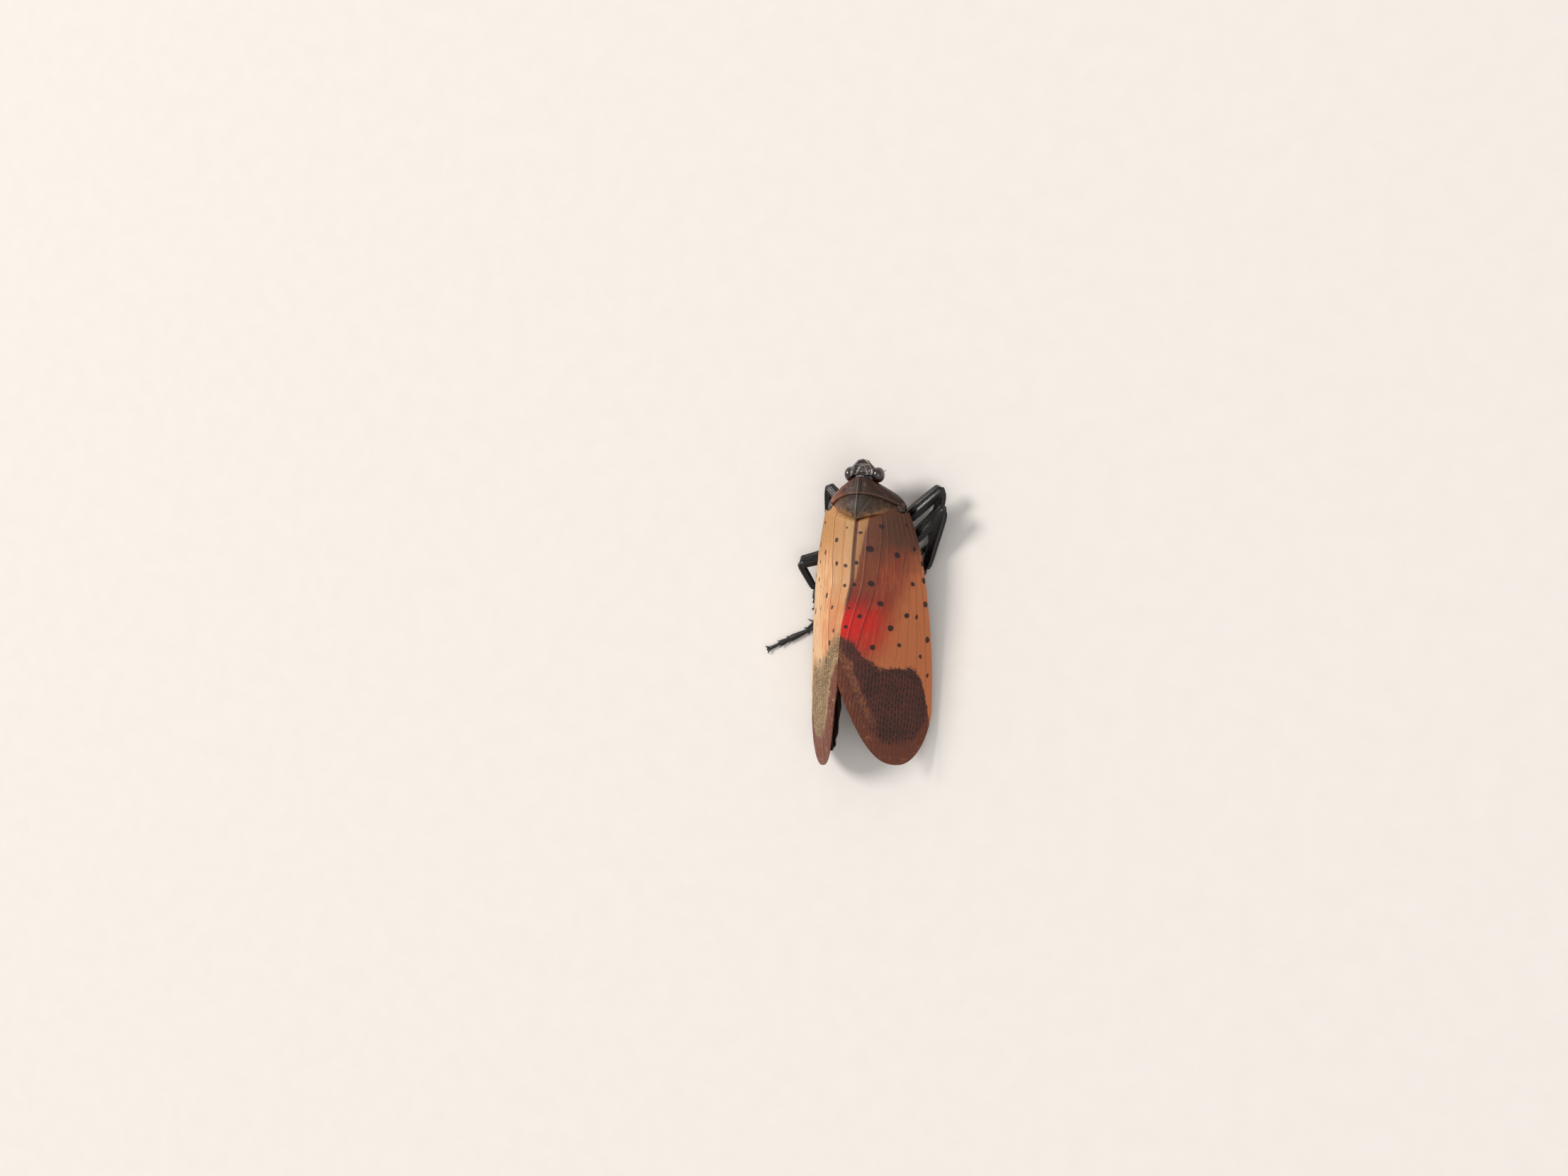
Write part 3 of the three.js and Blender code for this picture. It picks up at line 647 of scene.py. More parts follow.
    def bump(self, height: Socket, depth: float, under: Socket | None = None) -> Socket:
        """Adds fine relief.

        Args:
            height: The relief's height as a share of its depth.
            depth: The full depth.
            under: A normal that it is laid over.

        Returns:
            The normal.
        """
        inputs = {"Height": height, "Distance": depth * MM, "Strength": 1.0}
        if under is not None:
            inputs["Normal"] = under
        return self.node("ShaderNodeBump", inputs).outputs[0]

    def finish(self, colour: Socket, roughness: Socket, normal: Socket) -> bpy.types.Material:
        """Connects the shader.

        Args:
            colour: The base colour.
            roughness: The roughness.
            normal: The surface's normal.

        Returns:
            The material.
        """
        for socket, source in (("Base Color", colour), ("Roughness", roughness), ("Normal", normal)):
            self.tree.links.new(source, self.shader.inputs[socket])
        return self.material


class Finish(Protocol):
    """What every finish gives: its name and its material."""

    @property
    def name(self) -> str:
        """The material's name."""

    def material(self) -> bpy.types.Material:
        """Wires the finish up."""


@dataclass(frozen=True)
class Chitin:
    """Hard, glossy outer skin, lighter along its keels as a painted highlight (on the head partly the keels'
    own pale colour), and warmer in patches.
    """

    name: str
    deep: Rgb
    warm: Rgb
    keel: Rgb
    warmth: float = 0.5
    patch: float = 0.8
    gloss: float = 0.3
    coat: float = 0.35
    pit: float = 0.07
    pit_depth: float = 0.006

    def material(self) -> bpy.types.Material:
        """Wires the finish up.

        Returns:
            The material.
        """
        w = Wiring(self.name, Coat_Weight=self.coat, Coat_Roughness=0.12, Specular_IOR_Level=0.4)
        patches = w.step(w.noise(self.patch, 4), 0.7 - self.warmth, 1.3 - self.warmth)
        colour = w.mix(patches, srgb(*self.deep), srgb(*self.warm))
        # Keels take the keel colour in patches: a painted highlight along the ridges, on the head partly the
        # keels' own pale colour.
        mottled_share = w.times(w.value("ridge"), w.step(w.noise(0.3, 3), -1.0, 0.6, 0.8))
        colour = w.mix(mottled_share, colour, srgb(*self.keel))
        fine = w.noise(0.12, 3)
        rough = w.plus(self.gloss, w.times(fine, 0.09))
        pits = w.step(w.cells(self.pit), 0.1, 0.6)
        normal = w.bump(w.noise(0.025, 2), 0.0015, w.bump(pits, self.pit_depth))
        return w.finish(colour, rough, normal)


@dataclass(frozen=True)
class EyeGlass:
    """The dark glassy skin of a compound eye, with fine facets."""

    name: str = "eye_facets"
    deep: Rgb = (34, 14, 12)
    glow: Rgb = (92, 32, 22)
    facet: float = 0.035

    def material(self) -> bpy.types.Material:
        """Wires the finish up.

        Returns:
            The material.
        """
        w = Wiring(self.name, Coat_Weight=1.0, Coat_Roughness=0.05)
        bands = w.step(w.plus(w.value("height"), w.times(w.noise(0.35, 3), 0.35)), 0.3, -0.9)
        colour = w.mix(bands, srgb(*self.deep), srgb(*self.glow))
        facets = w.cells(self.facet, "SMOOTH_F1")
        rough = w.plus(0.16, w.times(facets, 0.12))
        return w.finish(colour, rough, w.bump(w.step(facets, 0.7, 0.0), 0.004))


@dataclass(frozen=True)
class PlateSkin:
    """The leathery back plates: dark down the middle, lighter marks at the sides and a pale rear margin; the
    left side (s > 0) is lighter still, painted as the side that light falls on.

    The plates keep the value place: s across from -1 to 1, t from front to back, and 0.
    """

    name: str
    middle: Rgb
    side: Rgb
    mark: Rgb
    margin: Rgb
    fleck: Rgb
    margin_at: float
    margin_half: float
    mark_from: float
    mark_rear: float
    mark_soft: float
    lit_side_share: float
    groove: Rgb = (14, 10, 9)

    def material(self) -> bpy.types.Material:
        """Wires the finish up.

        Returns:
            The material.
        """
        w = Wiring(self.name, Coat_Weight=0.08, Coat_Roughness=0.3, Specular_IOR_Level=0.3)
        s, t, _ = w.axes("place")
        away = w.maths("ABSOLUTE", s)
        mottle = w.noise(0.5, 4)
        # Painted light: the lighter side colour leans toward the insect's left (s > 0), the side that light
        # falls on; the right side stays darker as painted shade.
        sideways = w.plus(w.times(s, self.lit_side_share), w.times(away, 1 - self.lit_side_share))
        lightened = w.step(w.plus(sideways, w.times(mottle, 0.3)), 0.1, 0.8)
        colour = w.mix(lightened, srgb(*self.middle), srgb(*self.side))
        reach = w.plus(sideways, w.times(w.plus(t, -0.5), self.mark_rear))
        blotches = w.plus(w.times(w.noise(0.42, 3), 0.3), w.times(w.noise(0.13, 2), 0.12))
        marks = w.step(w.plus(reach, blotches), self.mark_from, self.mark_from + self.mark_soft, 0.9)
        colour = w.mix(marks, colour, srgb(*self.mark))
        colour = w.mix(w.step(w.noise(0.16, 3), 0.35, 0.9, 0.45), colour, srgb(*self.middle))
        flecks = w.times(w.step(w.noise(0.24, 3), 0.4, 0.9, 0.6), w.step(s, -0.1, 0.3))
        colour = w.mix(flecks, colour, srgb(*self.fleck))
        colour = w.mix(w.times(w.value("ridge"), 0.45), colour, srgb(*self.side))
        beside = w.maths("ABSOLUTE", w.plus(s, -0.035))
        colour = w.mix(w.step(beside, 0.016, 0.004, 0.6), colour, srgb(*self.fleck))
        colour = w.mix(w.step(away, 0.022, 0.006, 0.9), colour, srgb(*self.groove))
        arch = w.maths("ABSOLUTE", w.plus(t, -self.margin_at))
        margin = w.step(arch, self.margin_half, self.margin_half * 0.4, 0.8)
        colour = w.mix(margin, colour, srgb(*self.margin))
        rough = w.plus(0.42, w.times(w.noise(0.2, 3), 0.1))
        normal = w.bump(w.noise(0.05, 3), 0.006, w.bump(w.cells(0.13), 0.012))
        return w.finish(colour, rough, normal)


@dataclass(frozen=True)
class WingSkin:
    """The forewing: lined and spotted over the front two thirds, with a net of small cells behind.

    The wing keeps place (mm from the ridge, mm along, lane), vein, spot, apex, net, edge and glow.
    """

    name: str
    field_light: Rgb
    field_deep: Rgb
    root: Rgb
    clavus: Rgb
    line: Rgb
    outer: Rgb
    cell: Rgb
    cell_edge: Rgb
    band: Rgb
    tip: Rgb
    tip_line: Rgb
    suture_and_gap_shadow: Rgb
    glow: Rgb
    glow_deep: Rgb
    ridge_light_strip: Rgb
    spot: Rgb = (44, 28, 27)
    net_wobble: float = 0.02
    line_weight: float = 0.45
    cell_from: float = 0.02
    cell_to: float = 0.075
    even_within: float = 0.0
    worm_share: float = 0.0
    rear_soft: float = 0.2
    band_in: float = 1.95
    tip_in: float = 1.35
    suture_at: float = 0.24
    ray_rate: float = 300.0

    def field(self, w: Wiring) -> Socket:
        """Colours the front part, from root to middle and from ridge to margin.

        Args:
            w: The material's wiring.

        Returns:
            The colour.
        """
        across, along, lane = w.axes("place")
        streaks = w.noise(0.22, 3, place=w.vector(across, w.times(along, 0.12), 0.0))
        cloud = w.noise(1.1, 3)
        tone = w.plus(w.times(streaks, 0.5), w.plus(w.times(cloud, 0.35), 0.55))
        colour = w.mix(w.step(tone, 0.0, 1.0), srgb(*self.field_light), srgb(*self.field_deep))
        outer = w.step(w.plus(across, w.plus(w.times(along, 0.35), w.times(cloud, 0.5))), 2.6, 5.2)
        colour = w.mix(outer, colour, srgb(*self.outer))
        root = w.step(w.plus(along, w.times(cloud, 0.8)), -3.0, -6.6, 0.92)
        colour = w.mix(root, colour, srgb(*self.root))
        clavus = w.step(lane, self.suture_at + 0.005, self.suture_at - 0.015, 0.6)
        colour = w.mix(clavus, colour, srgb(*self.clavus))
        # Painted glow: red light shining through the forewing from the hindwing beneath, deeper toward the
        # front; its strength is set per wing.
        glow = w.times(w.value("glow"), w.step(w.plus(streaks, cloud), -2.6, 0.2))
        heat = w.mix(w.step(along, -1.6, 0.6), srgb(*self.glow_deep), srgb(*self.glow))
        colour = w.mix(glow, colour, heat)
        # Painted light: a strip beside the ridge toward the front, coloured as light falls there; on the
        # right wing it is the sunlit strip beside the shaded rest.
        width = w.plus(across, w.plus(w.times(along, 0.151), w.times(streaks, 0.12)))
        ridge_light_strip = w.times(w.step(width, 0.02, -0.24, 0.9), w.step(along, -2.2, -3.0))
        colour = w.mix(ridge_light_strip, colour, srgb(*self.ridge_light_strip))
        line = w.step(w.value("vein"), 0.06, 0.012, self.line_weight)
        colour = w.mix(w.times(line, w.step(w.noise(0.5, 2), -1.4, 0.2)), colour, srgb(*self.line))
        suture = w.step(w.maths("ABSOLUTE", w.plus(lane, -self.suture_at)), 0.008, 0.002, 0.7)
        return w.mix(suture, colour, srgb(*self.suture_and_gap_shadow))

    def net(self, w: Wiring) -> Socket:
        """Colours the rear part: small cells, a paler band across them and the lined tip.

        Args:
            w: The material's wiring.

        Returns:
            The colour.
        """
        across, _, lane = w.axes("place")
        wobble = w.times(w.noise(0.16, 3), self.net_wobble)
        inside = w.step(w.plus(w.value("net"), wobble), self.cell_from, self.cell_to)
        mottled_share = w.step(w.noise(0.6, 3), -0.9, 0.5)
        clear = w.step(across, self.even_within * 0.4 - 0.1, self.even_within + 0.1)
        inside = w.times(inside, w.times(clear, w.plus(w.times(mottled_share, 0.45), 0.55)))
        ground = w.mix(w.step(w.noise(0.8, 3), -0.8, 0.9, 0.5), srgb(*self.cell_edge), srgb(*self.cell))
        colour = w.mix(inside, ground, srgb(*self.cell))
        edge = w.value("edge")
        squiggle = w.step(w.maths("ABSOLUTE", w.noise(0.28, 2)), 0.3, 0.06)
        worms = w.step(w.maths("ABSOLUTE", w.noise(0.3, 1)), 0.26, 0.1, self.worm_share)
        colour = w.mix(worms, colour, srgb(*self.band))
        away = w.maths("ABSOLUTE", w.plus(w.plus(edge, -self.band_in), w.times(w.noise(0.7, 2), 0.25)))
        band = w.times(w.step(away, 0.75, 0.2, 0.85), w.step(across, 4.2, 2.2))
        colour = w.mix(w.times(band, w.plus(w.times(squiggle, 0.6), 0.25)), colour, srgb(*self.band))
        rays = w.maths("SINE", w.plus(w.times(lane, self.ray_rate), w.times(w.noise(0.6, 2), 0.8)))
        tip = w.mix(w.step(rays, 0.2, 0.9, 0.55), srgb(*self.tip), srgb(*self.tip_line))
        tip = w.mix(w.times(squiggle, w.step(w.noise(0.8, 2), 0.25, 0.7, 0.6)), tip, srgb(*self.band))
        limit = w.plus(edge, w.times(w.noise(0.6, 2), 0.3))
        return w.mix(w.step(limit, self.tip_in + 0.3, self.tip_in - 0.3), colour, tip)

    def material(self) -> bpy.types.Material:
        """Wires the finish up.

        Returns:
            The material.
        """
        w = Wiring(self.name, Coat_Weight=0.06, Coat_Roughness=0.35, Specular_IOR_Level=0.3)
        across, along, _ = w.axes("place")
        fringe = w.plus(w.times(w.noise(0.5, 3), 0.3), w.times(w.noise(0.14, 2), 0.14))
        rear = w.step(w.plus(w.value("apex"), fringe), -self.rear_soft, self.rear_soft)
        colour = w.mix(rear, self.field(w), self.net(w))
        # Painted shadow: a dark band beside the ridge over the front half, where the two wings meet and shade
        # falls into the gap.
        seam = w.times(w.step(across, 0.22, 0.12, 0.9), w.step(along, 0.6, -1.4))
        colour = w.mix(seam, colour, srgb(*self.suture_and_gap_shadow))
        ragged = w.plus(w.value("spot"), w.times(w.noise(0.18, 2), 0.035))
        colour = w.mix(w.step(ragged, 0.03, -0.03, 0.95), colour, srgb(*self.spot))
        rough = w.plus(0.5, w.times(w.noise(0.3, 3), 0.08))
        grain = w.bump(w.noise(0.06, 3), 0.006, w.bump(w.noise(0.35, 3), 0.02))
        cells = w.times(rear, w.step(w.value("net"), 0.08, 0.0))
        return w.finish(colour, rough, w.bump(cells, 0.02, grain))


@dataclass(frozen=True)
class HindwingSkin:
    """The pleated hindwing: red and spotted, with a pale band before its dark tip."""

    name: str = "hindwing_membrane"
    red: Rgb = (168, 32, 24)
    deep: Rgb = (120, 20, 18)
    pale: Rgb = (206, 190, 170)
    dark: Rgb = (42, 17, 15)
    spot_gap: float = 1.3
    pale_from: float = 3.05
    dark_from: float = 4.75
    vein_rate: float = 150.0

    def material(self) -> bpy.types.Material:
        """Wires the finish up.

        Returns:
            The material.
        """
        w = Wiring(self.name, Coat_Weight=0.05, Coat_Roughness=0.4)
        _, along, pleat = w.axes("place")
        colour = w.mix(w.step(w.noise(0.7, 3), -0.8, 0.8), srgb(*self.red), srgb(*self.deep))
        spots = w.step(w.cells(self.spot_gap), 0.2, 0.14)
        colour = w.mix(w.times(spots, w.step(along, 1.6, 0.8)), colour, srgb(*self.dark))
        limit = w.plus(along, w.times(w.noise(0.6, 3), 0.25))
        for start, tone in ((self.pale_from, self.pale), (self.dark_from, self.dark)):
            colour = w.mix(w.step(limit, start - 0.15, start + 0.15), colour, srgb(*tone))
        veins = w.maths("SINE", w.times(pleat, self.vein_rate))
        colour = w.mix(w.step(veins, 0.86, 1.0, 0.4), colour, srgb(*self.dark))
        rough = w.plus(0.5, w.times(w.noise(0.3, 2), 0.08))
        return w.finish(colour, rough, w.bump(w.noise(0.09, 3), 0.01))


@dataclass(frozen=True)
class BandedSkin:
    """The abdomen: yellow with a broad black band on each ring, finely wrinkled."""

    name: str = "abdomen_bands"
    yellow: Rgb = (196, 152, 58)
    black: Rgb = (28, 22, 20)
    stain: Rgb = (120, 84, 34)
    ring: float = 1.38
    start: float = -4.75

    def material(self) -> bpy.types.Material:
        """Wires the finish up.

        Returns:
            The material.
        """
        w = Wiring(self.name, Coat_Weight=0.2, Coat_Roughness=0.25)
        _, along, _ = w.axes("place")
        rings = w.times(w.plus(w.plus(along, -self.start), w.times(w.noise(0.6, 3), 0.12)), 1 / self.ring)
        share = w.maths("FRACT", rings)
        colour = w.mix(w.step(share, 0.2, 0.28), srgb(*self.yellow), srgb(*self.black))
        colour = w.mix(w.step(share, 0.78, 0.84), colour, srgb(*self.yellow))
        colour = w.mix(w.step(w.noise(0.2, 3), 0.2, 1.0, 0.3), colour, srgb(*self.stain))
        rough = w.plus(0.38, w.times(w.noise(0.2, 2), 0.08))
        wrinkles = w.noise(0.14, 3, stretch=(3, 0.5, 3))
        return w.finish(colour, rough, w.bump(wrinkles, 0.02))


@dataclass(frozen=True)
class AntennaSkin:
    """The orange swelling of a feeler, dotted with fine organs."""

    name: str = "antenna_orange"
    orange: Rgb = (196, 84, 26)
    dark: Rgb = (44, 24, 18)

    def material(self) -> bpy.types.Material:
        """Wires the finish up.

        Returns:
            The material.
        """
        w = Wiring(self.name, Coat_Weight=0.2, Coat_Roughness=0.25)
        dots = w.step(w.cells(0.09), 0.28, 0.14)
        colour = w.mix(w.times(dots, 0.55), srgb(*self.orange), srgb(*self.dark))
        colour = w.mix(w.value("bristle"), colour, srgb(*self.dark))
        rough = w.plus(0.38, w.times(w.noise(0.1, 2), 0.06))
        return w.finish(colour, rough, w.bump(dots, -0.01))


@dataclass(frozen=True)
class FloorSkin:
    """The plain pale floor."""

    name: str = "floor"
    pale: Rgb = (236, 230, 224)

    def material(self) -> bpy.types.Material:
        """Wires the finish up.

        Returns:
            The material.
        """
        w = Wiring(self.name)
        grain = w.noise(2.0, 3)
        colour = w.mix(w.step(grain, -1.0, 1.0), srgb(*self.pale), srgb(*(part - 2 for part in self.pale)))
        return w.finish(colour, w.plus(0.85, w.times(grain, 0.03)), w.bump(grain, 0.01))


# Each chitin's keel colour is painted along its ridges as a highlight.
BLACK_CHITIN = Chitin("leg_chitin", (9, 7, 7), (26, 16, 13), (34, 28, 26), warmth=0.25, gloss=0.24, coat=0.2)
HEAD_CHITIN = Chitin("head_chitin", (26, 17, 15), (58, 34, 26), (176, 160, 148), warmth=0.45, patch=0.5)
BROWN_CHITIN = Chitin("hinge_chitin", (40, 25, 19), (92, 54, 36), (122, 82, 54), warmth=0.6, patch=0.4)
BODY_CHITIN = Chitin("thorax_chitin", (28, 20, 17), (92, 58, 34), (120, 84, 54), warmth=0.45, patch=1.0)
BEAK_CHITIN = Chitin("beak_chitin", (44, 26, 18), (104, 62, 36), (120, 84, 54), warmth=0.6)
PRONOTUM_SKIN = PlateSkin(
    "pronotum_skin",
    middle=(50, 29, 20),
    side=(108, 58, 38),
    mark=(128, 70, 46),
    margin=(146, 108, 80),
    fleck=(150, 104, 84),
    margin_at=0.86,
    margin_half=0.012,
    mark_from=0.55,
    mark_rear=0.2,
    mark_soft=0.3,
    lit_side_share=0.6,
)
MESONOTUM_SKIN = PlateSkin(
    "mesonotum_skin",
    middle=(48, 38, 31),
    side=(92, 64, 42),
    mark=(136, 90, 50),
    margin=(112, 74, 44),
    fleck=(158, 110, 64),
    margin_at=0.99,
    margin_half=0.03,
    mark_from=0.3,
    mark_rear=1.3,
    mark_soft=0.65,
    lit_side_share=0.2,
)
LEFT_WING_SKIN = WingSkin(
    "forewing_left_skin",
    field_light=(232, 190, 142),
    field_deep=(212, 144, 94),
    root=(190, 138, 82),
    clavus=(184, 134, 88),
    line=(160, 88, 44),
    outer=(232, 190, 146),
    cell=(110, 86, 60),
    cell_edge=(138, 110, 78),
    band=(184, 154, 114),
    tip=(112, 60, 44),
    tip_line=(146, 92, 66),
    suture_and_gap_shadow=(92, 44, 28),
    glow=(224, 116, 66),
    glow_deep=(214, 124, 74),
    ridge_light_strip=(186, 142, 92),
    net_wobble=0.06,
    line_weight=0.7,
    worm_share=0.75,
    rear_soft=0.9,
    tip_in=1.8,
)
# Painted shade: the right forewing's palette is a darker, redder copy of the left wing's, coloured as the
# wing lies in shadow.
SHADED_RIGHT_WING_SKIN = WingSkin(
    "forewing_right_skin",
    field_light=(164, 82, 50),
    field_deep=(140, 58, 36),
    root=(82, 54, 36),
    clavus=(108, 60, 40),
    line=(90, 36, 24),
    outer=(192, 110, 64),
    cell=(38, 16, 14),
    cell_edge=(90, 43, 31),
    band=(158, 96, 62),
    tip=(98, 46, 28),
    tip_line=(132, 72, 42),
    suture_and_gap_shadow=(70, 26, 20),
    glow=(206, 26, 16),
    glow_deep=(138, 24, 18),
    ridge_light_strip=(166, 118, 72),
    spot=(38, 19, 18),
    line_weight=0.4,
    cell_from=0.055,
    cell_to=0.1,
    even_within=2.4,
)


@dataclass
class Piece:
    """A finished piece of the model: its form, its finish and what it stands for."""

    name: str
    form: Form
    finish: Finish
    slot: str
    nodes: tuple[str, ...]
    crease: float = 55.0


class Bench:
    """Turns forms into objects in the part's frame."""

    def __init__(self) -> None:
        """Finds where the body stands in the part's frame."""
        self.home = body_home()
        self.materials: dict[str, bpy.types.Material] = {}

    def dye(self, finish: Finish) -> bpy.types.Material:
        """Makes a finish's material once.

        Args:
            finish: The finish.

        Returns:
            Its material.
        """
        if finish.name not in self.materials:
            self.materials[finish.name] = finish.material()
        return self.materials[finish.name]

    def mesh(self, name: str, form: Form, crease: float = 55.0) -> bpy.types.Mesh:
        """Writes a form's points, faces and values to a mesh, in metres.

        Args:
            name: The mesh's name.
            form: The form.
            crease: Angle in degrees from which an edge is sharp.

        Returns:
            The mesh.
        """
        mesh = bpy.data.meshes.new(name)
        mesh.vertices.add(len(form.points))
        mesh.vertices.foreach_set("co", ((form.points + self.home) * MM).ravel())
        corners = np.concatenate([form.quads.ravel(), form.tris.ravel()])
        sizes = np.concatenate([np.full(len(form.quads), 4), np.full(len(form.tris), 3)])
        mesh.loops.add(len(corners))
        mesh.loops.foreach_set("vertex_index", corners)
        mesh.polygons.add(len(sizes))
        mesh.polygons.foreach_set("loop_start", np.concatenate([[0], np.cumsum(sizes)[:-1]]))
        mesh.update(calc_edges=True)
        mesh.shade_smooth()
        mesh.set_sharp_from_angle(angle=math.radians(crease))
        for key, value in form.values.items():
            wide = value.ndim == 2
            kept = mesh.attributes.new(key, "FLOAT_VECTOR" if wide else "FLOAT", "POINT")
            kept.data.foreach_set("vector" if wide else "value", value.astype(np.float32).ravel())
        return mesh

    def place(self, piece: Piece) -> bpy.types.Object:
        """Makes a piece's object and ties it to the solids.

        Args:
            piece: The piece.

        Returns:
            The object.
        """
        mesh = self.mesh(piece.name, piece.form, piece.crease)
        mesh.materials.append(self.dye(piece.finish))
        made = bpy.data.objects.new(piece.name, mesh)
        bpy.context.scene.collection.objects.link(made)
        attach(made, "root")
        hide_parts(*piece.nodes)
        log.info("%s: %d faces", piece.name, len(mesh.polygons))
        return made


@dataclass
class Roof:
    """The shape of the folded wings over the back.

    Rows give the ridge as y, x, z, the outer margin as y, half width, z, and the bulge between them as y,
    bulge.
    """

    ridge: list[tuple] = field(
        default_factory=lambda: [
            (-9.0, 0, 5.45),
            (-7.4, 0, 5.6),
            (-4.8, -0.08, 6.12),
            (-2.4, -0.18, 6.55),
            (-0.5, 0.08, 6.86),
            (1.2, 0.3, 7.08),
            (5.7, 0.36, 7.2),
            (9.0, 0.25, 6.7),
            (13.0, 0.1, 5.7),
        ]
    )
    costa: list[tuple] = field(
        default_factory=lambda: [
            (-9.0, 3.5, 3.75),
            (-7.4, 4.0, 3.1),
            (-4.5, 4.68, 2.3),
            (0.0, 5.18, 1.5),
            (5.0, 5.42, 0.95),
            (13.0, 5.3, 0.6),
        ]
    )
    swell: list[tuple] = field(default_factory=lambda: [(-9.0, 0.8), (0.0, 0.68), (6.0, 0.45), (13.0, 0.2)])
    sway_from: float = -2.0
    sway_rate: float = 0.02
    slit: float = 0.006  # half the gap between the two wings at the ridge

    def point(self, side: Side, y: np.ndarray, across: np.ndarray, sink: np.ndarray | float) -> np.ndarray:
        """Finds points of a wing.

        Args:
            side: Which wing.
            y: Places along the body.
            across: Shares from the ridge, 0, to the outer margin, 1.
            sink: Depth below the level of the vein crests.

        Returns:
            The points, in the same layout as y and across.
        """
        shape = np.shape(y)
        y, across = np.ravel(y), np.ravel(across)
        sink = np.broadcast_to(sink, shape).ravel()
        sign = side.value
        ridge_x, ridge_z = follow(self.ridge, y).T
        half, margin_z = follow(self.costa, y).T
        sway = -self.sway_rate * np.maximum(0, y - self.sway_from)
        inner = np.stack([ridge_x + sign * self.slit, y, ridge_z], 1)
        outer = np.stack([sign * half + sway, y, margin_z], 1)
        chord = outer - inner
        normal = unit(np.stack([-sign * chord[:, 2], 0 * y, sign * chord[:, 0]], 1))
        upward = np.array([0.0, 0.0, 1.0])
        way = unit(upward + (normal - upward) * across[:, None])
        bulge = follow(self.swell, y)[:, 0] * np.sin(math.pi * across**0.75)
        depth = -sink / np.einsum("ij,ij->i", way, normal)
        points = inner + chord * across[:, None] + normal * bulge[:, None] + way * depth[:, None]
        return points.reshape(*shape, 3)


@dataclass
class Blot:
    """A dark spot of a forewing: where it is, how wide across and along, and how far it is turned."""

    y: float
    across: float
    wide: float = 0.22
    long: float = 0.25
    turn: float = 0.0


